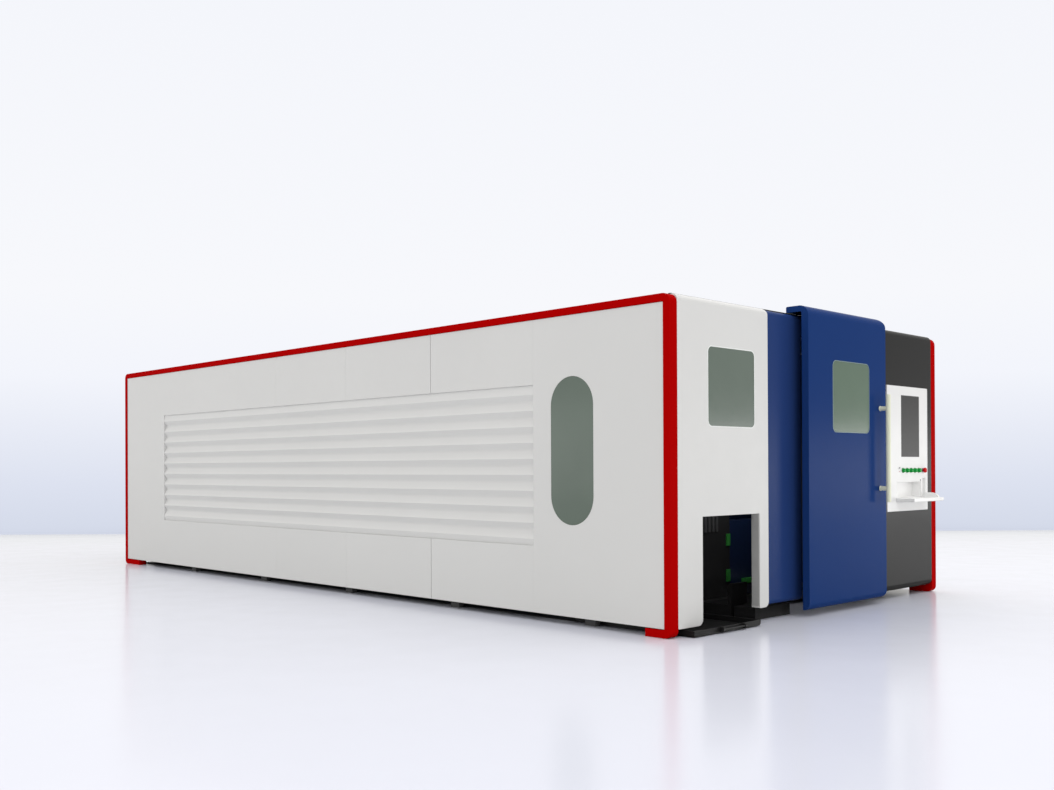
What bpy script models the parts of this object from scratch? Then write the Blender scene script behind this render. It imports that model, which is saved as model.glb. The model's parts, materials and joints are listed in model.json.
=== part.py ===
"""Enclosed fiber laser cutting machine, modelled in metres, +Z up.

Row frame: X runs along the machine, +X towards the operator's end.  Y runs
across it, the long side with the oval window at -Y.  The origin is on the
floor under the middle of the outer box.

Most dimensions below are given from the machine's near corner: x is measured
from the operator's end face (0) and is negative towards the rear, y is
measured from the outer face of the long side with the oval window.  The two
offsets XO and YO move them into the row frame.
"""
import math

import bmesh
import bpy
from mathutils import Matrix, Vector

# ---------------------------------------------------------------- dimensions
HEIGHT = 2.300            # top of the red bands
LENGTH = 8.376            # body, from the end face to the rear
WIDTH = 3.880             # over both red bands
REACH = 0.192             # how far the door handle stands out of the end face
XO = (LENGTH + REACH) / 2 - REACH
YO = -WIDTH / 2

GAP = 0.0003              # left between neighbours that touch
SHADOW = 0.003            # open joint between cover panels
SKIN = 0.003              # sheet thickness of the covers

BAND_FACE = 0.055         # red band, seen on the long side
BAND_DEPTH = 0.085        # red band, seen on the end
BAND_R = 0.060            # outer top corners
FOOT_R = 0.052            # outer corners at the floor
FOOT_NEAR = -0.218
FOOT_FAR = -8.002

SIDE_INSET = 0.0075       # side panels lie this far behind the bands
SIDE_DEPTH = 0.038
SIDE_LOW = 0.060
SIDE_TOP = HEIGHT - BAND_FACE - 0.002
X_REAR = -LENGTH + BAND_FACE + 0.002
X_FRONT = -BAND_FACE - 0.002
SEAM_A = -2.504           # panel joints on the long side
SEAM_B = -1.294
LOUVRE_X0, LOUVRE_X1 = -7.350, -1.2955
LOUVRE_Z0, LOUVRE_Z1 = 0.557, 1.758
LOUVRE_FIRST, LOUVRE_PITCH, LOUVRE_COUNT = 1.687, 0.120, 10
LOUVRE_DEPTH = 0.034
OVAL_X, OVAL_Z, OVAL_R, OVAL_H = -0.898, 1.262, 0.210, 1.077

CASSETTE = 0.070          # depth of the end covers
WHITE_Y0, WHITE_Y1 = BAND_DEPTH + 0.0005, 1.160
WHITE_TOP = 2.305
LEG_LOW_L, LEG_LOW_R = 0.057, 0.110
NOTCH_Y0, NOTCH_Y1, NOTCH_Z = 0.358, 1.045, 0.800
WINDOW_W, WINDOW_H, WINDOW_R = 0.566, 0.558, 0.045

PORTAL_Y0, PORTAL_Y1 = 1.1615, 2.716
PORTAL_Z0, PORTAL_Z1 = 0.115, 2.303
DOORWAY_Y0, DOORWAY_Y1, DOORWAY_Z = 1.660, 2.640, 2.150

DOOR_Y0, DOOR_Y1 = 1.557, 2.757
DOOR_Z0, DOOR_Z1 = 0.050, 2.366
DOOR_FACE, DOOR_BACK = 0.100, 0.042
HOOD_BACK, HOOD_LOW = -0.0925, 2.320
DOOR_TRAVEL = 1.150
ROLLER_R = 0.018

CAB_Y0, CAB_Y1 = 2.720, WIDTH - BAND_DEPTH - 0.0005
CAB_Z0, CAB_Z1 = 0.064, 2.312

PANEL_Y0, PANEL_Y1 = 2.950, 3.697
PANEL_Z0, PANEL_Z1 = 0.750, 1.834
PANEL_FACE = 0.012
SCREEN = (3.200, 3.537, 1.220, 1.757)
NICHE = (3.120, 3.567, 0.870, 1.003, -0.070)
SLOT = (3.594, 3.652, 0.870, 1.035, -0.036)
BUTTON_Y = (3.230, 3.3035, 3.377, 3.4505, 3.524)
BUTTON_Z, BUTTON_R, BUTTON_PUSH = 1.103, 0.0175, 0.004
ESTOP_Y, ESTOP_Z = 3.605, 1.103
KEY_Y, KEY_Z = 3.160, 1.124
SHELF = (3.100, 3.655, 0.834, 0.864, 0.0135, 0.181)

TRAY = (0.153, 0.934, -1.000, 0.080, 0.006, 0.046)
BED_X0, BED_X1 = -8.200, -1.200
BED_TOP = 0.780


# ------------------------------------------------------------------- helpers
for old in list(bpy.data.objects):
    bpy.data.objects.remove(old, do_unlink=True)
for old in list(bpy.data.collections):
    bpy.data.collections.remove(old)

PARTS = bpy.data.collections.new("laser_cutting_machine")
CUTTERS = bpy.data.collections.new("cutters")
GUIDES = bpy.data.collections.new("joint_axes")
for c in (PARTS, CUTTERS, GUIDES):
    bpy.context.scene.collection.children.link(c)


def material(name, rgb, rough, metal=0.0):
    m = bpy.data.materials.new(name)
    m.use_nodes = True
    b = m.node_tree.nodes["Principled BSDF"]
    b.inputs["Base Color"].default_value = (*rgb, 1.0)
    b.inputs["Roughness"].default_value = rough
    b.inputs["Metallic"].default_value = metal
    m.diffuse_color = (*rgb, 1.0)
    return m


M_RED = material("red_paint", (0.45, 0.002, 0.004), 0.35)
M_SIDE = material("light_grey_paint", (0.62, 0.62, 0.62), 0.45)
M_WHITE = material("white_paint", (0.78, 0.78, 0.78), 0.40)
M_BLUE = material("blue_paint", (0.028, 0.062, 0.185), 0.38)
M_GREY = material("dark_grey_paint", (0.085, 0.085, 0.088), 0.45)
M_GLASS = material("laser_safety_glass", (0.16, 0.21, 0.18), 0.12)
M_HANDLE = material("cream_paint", (0.78, 0.79, 0.68), 0.35)
M_PANEL = material("panel_white", (0.86, 0.86, 0.86), 0.42)
M_SCREEN = material("screen", (0.11, 0.11, 0.11), 0.25)
M_GREEN = material("green_button", (0.01, 0.30, 0.05), 0.30)
M_ESTOP = material("red_button", (0.60, 0.005, 0.005), 0.30)
M_BLACK = material("black_paint", (0.025, 0.025, 0.025), 0.55)
M_NAVY = material("navy_machine_paint", (0.018, 0.030, 0.085), 0.50)
M_STEEL = material("ground_steel", (0.50, 0.50, 0.50), 0.30, 1.0)
M_ALU = material("aluminium", (0.62, 0.63, 0.64), 0.35, 1.0)
M_BARE = material("mild_steel", (0.20, 0.19, 0.18), 0.60, 0.8)


def finish_mesh(name, bm, mat, coll):
    me = bpy.data.meshes.new(name)
    bm.normal_update()
    bm.to_mesh(me)
    bm.free()
    ob = bpy.data.objects.new(name, me)
    coll.objects.link(ob)
    if mat is not None:
        me.materials.append(mat)
    if coll is CUTTERS:
        ob.hide_render = True
        ob.display_type = 'WIRE'
    return ob


def offset(v):
    """Corner-measured point to row frame."""
    return Vector((v[0] + XO, v[1] + YO, v[2]))


def box(name, x0, x1, y0, y1, z0, z1, mat=None, coll=None, bevel=0.0, seg=1, edges=None):
    coll = coll or PARTS
    bm = bmesh.new()
    bmesh.ops.create_cube(bm, size=1.0)
    bmesh.ops.scale(bm, vec=(x1 - x0, y1 - y0, z1 - z0), verts=bm.verts)
    bmesh.ops.translate(bm, vec=offset(((x0 + x1) / 2, (y0 + y1) / 2, (z0 + z1) / 2)), verts=bm.verts)
    if bevel:
        es = [e for e in bm.edges if edges is None or edges(e)]
        bmesh.ops.bevel(bm, geom=es, offset=bevel, segments=seg, profile=0.5, affect='EDGES')
    return finish_mesh(name, bm, mat, coll)


def corner(points, seg=6):
    """Outline from (u, v) or (u, v, radius) corners, each radius an arc."""
    out = []
    n = len(points)
    for i, p in enumerate(points):
        r = p[2] if len(p) > 2 else 0.0
        q = Vector(p[:2])
        if r <= 0:
            out.append((q.x, q.y))
            continue
        a = (Vector(points[i - 1][:2]) - q).normalized()
        b = (Vector(points[(i + 1) % n][:2]) - q).normalized()
        half = a.angle(b) / 2
        t = r / math.tan(half)
        centre = q + (a + b).normalized() * (r / math.sin(half))
        s = q + a * t - centre
        e = q + b * t - centre
        turn = math.atan2(s.x * e.y - s.y * e.x, s.dot(e))
        for k in range(seg + 1):
            w = turn * k / seg
            out.append((centre.x + s.x * math.cos(w) - s.y * math.sin(w),
                        centre.y + s.x * math.sin(w) + s.y * math.cos(w)))
    return out


def stadium(cu, cv, r, height, seg=10):
    """Upright oval with straight sides."""
    k = height / 2 - r
    pts = []
    for i in range(seg + 1):
        w = math.pi * i / seg
        pts.append((cu + r * math.cos(w), cv + k + r * math.sin(w)))
    for i in range(seg + 1):
        w = math.pi + math.pi * i / seg
        pts.append((cu + r * math.cos(w), cv - k + r * math.sin(w)))
    return pts


def round_rect(u0, u1, v0, v1, r, seg=5):
    return corner([(u0, v0, r), (u1, v0, r), (u1, v1, r), (u0, v1, r)], seg)


TURN = {
    'X': Matrix(((0, 0, 1, 0), (1, 0, 0, 0), (0, 1, 0, 0), (0, 0, 0, 1))),
    'Y': Matrix(((1, 0, 0, 0), (0, 0, -1, 0), (0, 1, 0, 0), (0, 0, 0, 1))),
    'Z': Matrix.Identity(4),
}


def prism(name, axis, outline, a0, a1, mat=None, coll=None, holes=(), edge_bevel=None):
    """Flat outline swept along an axis.  Outline coordinates are (y, z) for
    axis X, (x, z) for axis Y and (x, y) for axis Z."""
    coll = coll or PARTS
    cu = bpy.data.curves.new(name, 'CURVE')
    cu.dimensions = '2D'
    cu.fill_mode = 'BOTH'
    cu.extrude = (a1 - a0) / 2
    for loop in (outline, *holes):
        sp = cu.splines.new('POLY')
        sp.points.add(len(loop) - 1)
        for p, (u, v) in zip(sp.points, loop):
            p.co = (u, v, 0, 1)
        sp.use_cyclic_u = True
    ob = bpy.data.objects.new(name + "_outline", cu)
    bpy.context.scene.collection.objects.link(ob)
    mid = (a0 + a1) / 2
    at = {'X': (mid, 0, 0), 'Y': (0, mid, 0), 'Z': (0, 0, mid)}[axis]
    ob.matrix_world = Matrix.Translation(offset(at)) @ TURN[axis]
    bpy.context.view_layer.update()
    me = bpy.data.meshes.new_from_object(ob.evaluated_get(bpy.context.evaluated_depsgraph_get()))
    bm = bmesh.new()
    bm.from_mesh(me)
    bmesh.ops.remove_doubles(bm, verts=bm.verts, dist=0.00002)
    bmesh.ops.transform(bm, matrix=ob.matrix_world, verts=bm.verts)
    bmesh.ops.recalc_face_normals(bm, faces=bm.faces)
    bmesh.ops.dissolve_limit(bm, angle_limit=0.0005, verts=bm.verts, edges=bm.edges, use_dissolve_boundaries=False)
    if edge_bevel:
        width, seg, test = edge_bevel
        es = [e for e in bm.edges if len(e.link_faces) == 2
              and e.calc_face_angle() > math.radians(50) and test(e)]
        bmesh.ops.bevel(bm, geom=es, offset=width, segments=seg, profile=0.5, affect='EDGES',
                        clamp_overlap=True)
    bpy.data.objects.remove(ob, do_unlink=True)
    bpy.data.meshes.remove(me)
    bpy.data.curves.remove(cu)
    return finish_mesh(name, bm, mat, coll)


def rod(name, axis, c, r, a0, a1, mat=None, coll=None, n=20):
    """Round bar along an axis; c holds the other two coordinates in order."""
    coll = coll or PARTS
    bm = bmesh.new()
    bmesh.ops.create_cone(bm, cap_ends=True, cap_tris=False, segments=n, radius1=r, radius2=r, depth=a1 - a0)
    mid = (a0 + a1) / 2
    at = {'X': (mid, c[0], c[1]), 'Y': (c[0], mid, c[1]), 'Z': (c[0], c[1], mid)}[axis]
    bmesh.ops.transform(bm, matrix=Matrix.Translation(offset(at)) @ TURN[axis], verts=bm.verts)
    bmesh.ops.recalc_face_normals(bm, faces=bm.faces)
    ob = finish_mesh(name, bm, mat, coll)
    ob.data.shade_smooth()
    ob.data.set_sharp_from_angle(angle=math.radians(35))
    return ob


def turned(name, profile, origin, direction, mat, coll=None, n=20):
    """Turned piece: profile is (radius, height) from the bottom centre up to
    the top centre, spun about local Z by a Screw modifier."""
    coll = coll or PARTS
    me = bpy.data.meshes.new(name)
    bm = bmesh.new()
    vs = [bm.verts.new((r, 0, h)) for r, h in reversed(profile)]
    for a, b in zip(vs[:-1], vs[1:]):
        bm.edges.new((a, b))
    bm.to_mesh(me)
    bm.free()
    me.materials.append(mat)
    ob = bpy.data.objects.new(name, me)
    coll.objects.link(ob)
    if coll is CUTTERS:
        ob.hide_render = True
        ob.display_type = 'WIRE'
    ob.location = offset(origin)
    ob.rotation_euler = Vector(direction).to_track_quat('Z', 'Y').to_euler()
    sc = ob.modifiers.new("spin", 'SCREW')
    sc.axis = 'Z'
    sc.angle = 2 * math.pi
    sc.steps = n
    sc.render_steps = n
    sc.use_merge_vertices = True
    sc.merge_threshold = 0.00001
    sc.use_smooth_shade = True
    return ob


def cut(ob, cutter, op='DIFFERENCE'):
    m = ob.modifiers.new("cut_" + cutter.name[:30], 'BOOLEAN')
    m.operation = op
    m.solver = 'EXACT'
    m.object = cutter
    return ob


def inset(points, d):
    """Square-cornered outline moved inwards by d (points run anticlockwise)."""
    out = []
    n = len(points)
    for i, (u, v) in enumerate(points):
        a = Vector((u - points[i - 1][0], v - points[i - 1][1])).normalized()
        b = Vector((points[(i + 1) % n][0] - u, points[(i + 1) % n][1] - v)).normalized()
        na, nb = Vector((-a.y, a.x)), Vector((-b.y, b.x))
        out.append((u + d * (na.x + nb.x), v + d * (na.y + nb.y)))
    return out


def on_plane(axis, value, tol=0.0004):
    i = 'XYZ'.index(axis)
    w = value + (XO, YO, 0.0)[i]
    return lambda e: all(abs(v.co[i] - w) < tol for v in e.verts)


def axis_at(name, point, parent=None):
    """Empty on a joint's axis; the moving pieces are its children."""
    e = bpy.data.objects.new(name, None)
    e.empty_display_size = 0.1
    GUIDES.objects.link(e)
    e.location = offset(point)
    if parent is not None:
        e.parent = parent
        e.matrix_parent_inverse = Matrix.Translation(-WORLD[parent.name])
        e.location = offset(point)
    WORLD[e.name] = offset(point)
    return e


WORLD = {}


def carry(empty, *pieces):
    for p in pieces:
        p.parent = empty
        p.matrix_parent_inverse = Matrix.Translation(-WORLD[empty.name])


# --------------------------------------------------------------- red bands
band_outline = corner([
    (FOOT_NEAR, 0.0), (0.0, 0.0, FOOT_R), (0.0, HEIGHT, BAND_R), (-LENGTH, HEIGHT, BAND_R),
    (-LENGTH, 0.0, FOOT_R), (FOOT_FAR, 0.0), (FOOT_FAR, BAND_FACE),
    (-LENGTH + BAND_FACE, BAND_FACE, 0.006), (-LENGTH + BAND_FACE, HEIGHT - BAND_FACE, 0.004),
    (-BAND_FACE, HEIGHT - BAND_FACE, 0.004), (-BAND_FACE, BAND_FACE, 0.006), (FOOT_NEAR, BAND_FACE)], 7)
red_band_left = prism("red_band_left", 'Y', band_outline, 0.0, BAND_DEPTH, M_RED,
                      edge_bevel=(0.004, 2, on_plane('Y', 0.0)))
red_band_right = prism("red_band_right", 'Y', band_outline, WIDTH - BAND_DEPTH, WIDTH, M_RED,
                       edge_bevel=(0.004, 2, on_plane('Y', WIDTH)))


# ------------------------------------------------------ covers of folded sheet
def cassette_y(name, outline, y_face, inward, mat, holes=(), depth=SIDE_DEPTH, bevel=0.0025):
    """Folded cover on a long side: a skin with its edges turned inwards."""
    y_back = y_face + inward * depth
    ob = prism(name, 'Y', outline, min(y_face, y_back), max(y_face, y_back), mat,
               edge_bevel=(bevel, 1, on_plane('Y', y_face)))
    y_skin = y_face + inward * SKIN
    y_open = y_back + inward * 0.01
    hollow = prism("hollow_" + name, 'Y', inset(outline, SKIN), min(y_skin, y_open), max(y_skin, y_open), coll=CUTTERS)
    cut(ob, hollow)
    for i, h in enumerate(holes):
        cut(ob, prism("hole%d_%s" % (i, name), 'Y', h, min(y_face, y_open) - 0.01, max(y_face, y_open) + 0.01, coll=CUTTERS))
    return ob


YL = SIDE_INSET
YR = WIDTH - SIDE_INSET
g = SHADOW / 2

rear_c = [(X_REAR, SIDE_LOW), (SEAM_A - g, SIDE_LOW), (SEAM_A - g, LOUVRE_Z0), (LOUVRE_X0, LOUVRE_Z0),
          (LOUVRE_X0, LOUVRE_Z1), (SEAM_A - g, LOUVRE_Z1), (SEAM_A - g, SIDE_TOP), (X_REAR, SIDE_TOP)]
cassette_y("side_panel_left_rear", rear_c, YL, 1, M_SIDE)
cassette_y("side_panel_left_upper", [(SEAM_A + g, LOUVRE_Z1), (SEAM_B - g, LOUVRE_Z1), (SEAM_B - g, SIDE_TOP),
                                     (SEAM_A + g, SIDE_TOP)], YL, 1, M_SIDE)
cassette_y("side_panel_left_lower", [(SEAM_A + g, SIDE_LOW), (SEAM_B - g, SIDE_LOW), (SEAM_B - g, LOUVRE_Z0),
                                     (SEAM_A + g, LOUVRE_Z0)], YL, 1, M_SIDE)
front_c = [(SEAM_B + g, SIDE_LOW), (X_FRONT, SIDE_LOW), (X_FRONT, SIDE_TOP), (SEAM_B + g, SIDE_TOP)]
cassette_y("side_panel_left_front", front_c, YL, 1, M_SIDE, holes=[stadium(OVAL_X, OVAL_Z, OVAL_R, OVAL_H)])

# the hidden side: the same wall, closed up to the electrical cabinet's doors
R_SEAM = SEAM_B - g
R_LOUVRE_X1 = -1.450
cassette_y("side_panel_right", [(X_REAR, SIDE_LOW), (R_SEAM, SIDE_LOW), (R_SEAM, SIDE_TOP), (X_REAR, SIDE_TOP)],
           YR, -1, M_SIDE)
louvre_field = [(LOUVRE_X0, LOUVRE_Z0), (R_LOUVRE_X1, LOUVRE_Z0), (R_LOUVRE_X1, LOUVRE_Z1), (LOUVRE_X0, LOUVRE_Z1)]
cut(bpy.data.objects["side_panel_right"],
    prism("cut_louvre_field_right", 'Y', louvre_field, YR - 0.10, YR + 0.01, coll=CUTTERS))


def louvre_profile(y_face, inward):
    """Saw-tooth section of the louvre sheet: each blade slopes outwards and
    down to a sharp lip, then turns back in under it."""
    lip = y_face + inward * 0.0015
    deep = y_face + inward * LOUVRE_DEPTH
    top, low = LOUVRE_Z1 - 0.0006, LOUVRE_Z0 + 0.0006
    front = [(deep, top)]
    for k in range(LOUVRE_COUNT):
        z = LOUVRE_FIRST - k * LOUVRE_PITCH
        front.append((lip, z))
        front.append((deep, max(z - 0.046, low)))
    back = [(u + inward * 0.0035, v) for u, v in reversed(front)]
    back[0] = (back[0][0], low)
    return front + back


louvre_left = prism("louvre_left", 'X', louvre_profile(YL, 1), LOUVRE_X0 + 0.001, LOUVRE_X1 - 0.001, M_SIDE)
louvre_right = prism("louvre_right", 'X', louvre_profile(YR, -1), LOUVRE_X0 + 0.001, R_LOUVRE_X1 - 0.001, M_SIDE)


def pane_y(name, y_face, inward, make, mat=M_GLASS):
    """Flush pane with a wider rebate behind the skin."""
    a = (y_face + inward * 0.0004, y_face + inward * (SKIN + 0.004))
    ob = prism(name, 'Y', make(-0.0004), min(a), max(a), mat)
    b = (y_face + inward * (SKIN + GAP), y_face + inward * (SKIN + 0.0045))
    cut(ob, prism("rebate_" + name, 'Y', make(0.012), min(b), max(b), coll=CUTTERS), 'UNION')
    return ob


def pane_x(name, x_face, y0, z0, skin=SKIN):
    def loop(d):
        return round_rect(y0 - d, y0 + WINDOW_W + d, z0 - d, z0 + WINDOW_H + d, WINDOW_R + d)
    ob = prism(name, 'X', loop(-0.0004), x_face - skin - 0.004, x_face - 0.0004, M_GLASS)
    cut(ob, prism("rebate_" + name, 'X', loop(0.012), x_face - skin - 0.0045, x_face - skin - GAP, coll=CUTTERS), 'UNION')
    return ob


pane_y("oval_window", YL, 1, lambda d: stadium(OVAL_X, OVAL_Z, OVAL_R + d, OVAL_H + 2 * d))

# ------------------------------------------------ cabinet doors, hidden side
DOOR_SPLIT = -0.675


def cabinet_door(name, x0, x1, hinge_x):
    ob = cassette_y(name, [(x0, SIDE_LOW), (x1, SIDE_LOW), (x1, SIDE_TOP), (x0, SIDE_TOP)], YR, -1, M_SIDE)
    axis = axis_at("axis_" + name, (hinge_x, YR, 1.15))
    carry(axis, ob)
    return ob


cabinet_door("cabinet_door_rear", SEAM_B + g, DOOR_SPLIT - g, SEAM_B + g)
cabinet_door("cabinet_door_front", DOOR_SPLIT + g, X_FRONT, X_FRONT)


# --------------------------------------------------- covers of the end face
def corner_cutter(name, x_face, z_edge, r, y0, y1, top=True):
    """Rounds the horizontal front edge of a cover."""
    s = 1 if top else -1
    arc = []
    for i in range(9):
        w = math.pi / 2 * i / 8
        arc.append((x_face - r + r * math.cos(w), z_edge - s * r + s * r * math.sin(w)))
    pts = [(x_face + 0.02, z_edge - s * r)] + arc + [(x_face - r, z_edge + s * 0.02), (x_face + 0.02, z_edge + s * 0.02)]
    return prism(name, 'Y', pts, y0, y1, coll=CUTTERS)


def cassette_x(name, outer, inner, x_face, depth, mat, top, low, r_top, r_low, y0, y1, holes=()):
    ob = prism(name, 'X', outer, x_face - depth, x_face, mat)
    hollow = prism("hollow_" + name, 'X', inner, x_face - depth - 0.01, x_face - SKIN, coll=CUTTERS)
    if r_top:
        cut(ob, corner_cutter("round_top_" + name, x_face, top, r_top, y0 - 0.05, y1 + 0.05))
        cut(hollow, corner_cutter("round_top_in_" + name, x_face - SKIN, top - SKIN, r_top - SKIN, y0 - 0.05, y1 + 0.05))
    if r_low:
        cut(ob, corner_cutter("round_low_" + name, x_face, low, r_low, y0 - 0.05, y1 + 0.05, False))
        cut(hollow, corner_cutter("round_low_in_" + name, x_face - SKIN, low + SKIN, r_low - SKIN, y0 - 0.05, y1 + 0.05, False))
    cut(ob, hollow)
    for i, h in enumerate(holes):
        cut(ob, prism("hole%d_%s" % (i, name), 'X', h, x_face - 0.2, x_face + 0.05, coll=CUTTERS))
    return ob


def white_loop(d):
    r = 0.045
    return corner([
        (WHITE_Y0 + d, LEG_LOW_L + d, 0.012), (NOTCH_Y0 - d, LEG_LOW_L + d, r), (NOTCH_Y0 - d, NOTCH_Z + d),
        (NOTCH_Y1 + d, NOTCH_Z + d), (NOTCH_Y1 + d, LEG_LOW_R + d, 0.008), (WHITE_Y1 - d, LEG_LOW_R + d, r - d),
        (WHITE_Y1 - d, WHITE_TOP - d, 0.050 - d), (WHITE_Y0 + d, WHITE_TOP - d, 0.014)], 6)


WIN1_Y, WIN1_Z = 0.4235, 1.420
cassette_x("end_panel_white", white_loop(0.0), white_loop(SKIN), 0.0, CASSETTE, M_WHITE,
           WHITE_TOP, LEG_LOW_L, 0.045, 0.0, WHITE_Y0, WHITE_Y1,
           holes=[round_rect(WIN1_Y, WIN1_Y + WINDOW_W, WIN1_Z, WIN1_Z + WINDOW_H, WINDOW_R)])
pane_x("end_window", 0.0, WIN1_Y, WIN1_Z)

PORTAL_X = -0.030


def portal_loop(d):
    return corner([
        (PORTAL_Y0 + d, PORTAL_Z0 + d), (DOORWAY_Y0 - d, PORTAL_Z0 + d), (DOORWAY_Y0 - d, DOORWAY_Z + d),
        (DOORWAY_Y1 + d, DOORWAY_Z + d), (DOORWAY_Y1 + d, PORTAL_Z0 + d), (PORTAL_Y1 - d, PORTAL_Z0 + d),
        (PORTAL_Y1 - d, PORTAL_Z1 - d), (PORTAL_Y0 + d, PORTAL_Z1 - d)])


cassette_x("door_portal", portal_loop(0.0), portal_loop(SKIN), PORTAL_X, 0.040, M_BLUE,
           PORTAL_Z1, PORTAL_Z0, 0.036, 0.036, PORTAL_Y0, PORTAL_Y1)

cab_hole = (3.000, 3.670, 0.800, 1.800)


def cab_loop(d):
    return corner([(CAB_Y0 + d, CAB_Z0 + d, 0.006), (CAB_Y1 - d, CAB_Z0 + d, 0.006),
                   (CAB_Y1 - d, CAB_Z1 - d, 0.006), (CAB_Y0 + d, CAB_Z1 - d, 0.006)], 2)


cassette_x("cabinet_front", cab_loop(0.0), cab_loop(SKIN), 0.0, CASSETTE, M_GREY,
           CAB_Z1, CAB_Z0, 0.048, 0.055, CAB_Y0, CAB_Y1,
           holes=[[(cab_hole[0], cab_hole[2]), (cab_hole[1], cab_hole[2]), (cab_hole[1], cab_hole[3]), (cab_hole[0], cab_hole[3])]])

# ------------------------------------------------------------ sliding door
door_section = corner([
    (DOOR_BACK, DOOR_Z0), (DOOR_FACE, DOOR_Z0, 0.050), (DOOR_FACE, DOOR_Z1, 0.078), (HOOD_BACK, DOOR_Z1, 0.010),
    (HOOD_BACK, HOOD_LOW), (DOOR_BACK, HOOD_LOW, 0.010)], 8)
door_hollow = corner([
    (DOOR_BACK - 0.012, DOOR_Z0 + SKIN), (DOOR_FACE - SKIN, DOOR_Z0 + SKIN, 0.047),
    (DOOR_FACE - SKIN, DOOR_Z1 - SKIN, 0.075), (HOOD_BACK + SKIN, DOOR_Z1 - SKIN, 0.007),
    (HOOD_BACK + SKIN, HOOD_LOW - 0.008), (DOOR_BACK - 0.012, HOOD_LOW - 0.008)], 8)
sliding_door = prism("sliding_door", 'Y', door_section, DOOR_Y0, DOOR_Y1, M_BLUE)
door_space = prism("hollow_sliding_door", 'Y', door_hollow, DOOR_Y0 + SKIN, DOOR_Y1 - SKIN, coll=CUTTERS)


def quarter(name, y_edge, z_edge, r, top):
    s = 1 if top else -1
    arc = [(y_edge - r + r * math.cos(math.pi / 2 * i / 7), z_edge - s * r + s * r * math.sin(math.pi / 2 * i / 7)) for i in range(8)]
    pts = [(y_edge + 0.02, z_edge - s * r)] + arc + [(y_edge - r, z_edge + s * 0.02), (y_edge + 0.02, z_edge + s * 0.02)]
    return prism(name, 'X', pts, -0.20, 0.20, coll=CUTTERS)


cut(sliding_door, quarter("door_corner_top", DOOR_Y1, DOOR_Z1, 0.080, True))
cut(sliding_door, quarter("door_corner_low", DOOR_Y1, DOOR_Z0, 0.060, False))
cut(door_space, quarter("door_corner_top_in", DOOR_Y1 - SKIN, DOOR_Z1 - SKIN, 0.077, True))
cut(door_space, quarter("door_corner_low_in", DOOR_Y1 - SKIN, DOOR_Z0 + SKIN, 0.057, False))
cut(sliding_door, door_space)
WIN2_Y, WIN2_Z = 1.911, 1.409
cut(sliding_door, prism("hole_sliding_door", 'X',
                        round_rect(WIN2_Y, WIN2_Y + WINDOW_W, WIN2_Z, WIN2_Z + WINDOW_H, WINDOW_R), 0.05, 0.15, coll=CUTTERS))
door_window = pane_x("door_window", DOOR_FACE, WIN2_Y, WIN2_Z)

door_handle = rod("door_handle", 'Z', (REACH - 0.020, 2.660), 0.020, 0.845, 1.730, M_HANDLE, n=28)
for k, z in enumerate((0.957, 1.616)):
    cut(door_handle, rod("handle_post_%d" % k, 'X', (2.660, z), 0.019, DOOR_FACE + GAP, REACH - 0.020, coll=CUTTERS, n=20), 'UNION')

door_rail = box("door_rail", -0.0950, -0.0725, 0.110, 2.790, 2.2953, 2.3150, M_STEEL)
roller_z = 2.3150 + GAP + ROLLER_R
rollers = []
for nm, y in (("door_roller_left", 1.700), ("door_roller_right", 2.600)):
    rollers.append(turned(nm, [(0, -0.0055), (0.004, -0.0055), (0.004, -0.0050), (ROLLER_R, -0.0050), (ROLLER_R, 0.0050),
                               (0.004, 0.0050), (0.004, 0.0055), (0, 0.0055)],
                          (-0.0830, y, roller_z), (1, 0, 0), M_STEEL, n=20))

axis_door = axis_at("axis_door_slide", (0.07, (DOOR_Y0 + DOOR_Y1) / 2, 2.32))
carry(axis_door, sliding_door, door_window, door_handle)
for r in rollers:
    r.parent = axis_door
    r.matrix_parent_inverse = Matrix.Translation(-WORLD[axis_door.name])

# ------------------------------------------------------- operator's panel
control_panel = prism("control_panel", 'X', round_rect(PANEL_Y0, PANEL_Y1, PANEL_Z0, PANEL_Z1, 0.006, 2),
                      GAP, PANEL_FACE, M_PANEL, edge_bevel=(0.002, 1, on_plane('X', PANEL_FACE)))
ny0, ny1, nz0, nz1, nx = NICHE
sy0, sy1, sz0, sz1, sx = SLOT
cut(control_panel, box("niche_case", nx - 0.004, 0.006, ny0 - 0.010, ny1 + 0.008, nz0 - 0.010, nz1 + 0.010, coll=CUTTERS), 'UNION')
cut(control_panel, box("slot_case", sx - 0.003, 0.006, sy0 - 0.006, sy1 + 0.005, sz0 - 0.008, sz1 + 0.006, coll=CUTTERS), 'UNION')
cut(control_panel, box("niche_space", nx, 0.05, ny0, ny1, nz0, nz1, coll=CUTTERS))
cut(control_panel, box("slot_space", sx, 0.05, sy0, sy1, sz0, sz1, coll=CUTTERS))
scr_y0, scr_y1, scr_z0, scr_z1 = SCREEN
cut(control_panel, box("screen_pocket", PANEL_FACE - 0.006, 0.05, scr_y0, scr_y1, scr_z0, scr_z1, coll=CUTTERS))
box("control_screen", PANEL_FACE - 0.006 + GAP, PANEL_FACE - 0.0010, scr_y0 + 0.0005, scr_y1 - 0.0005, scr_z0 + 0.0005, scr_z1 - 0.0005, M_SCREEN)

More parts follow.
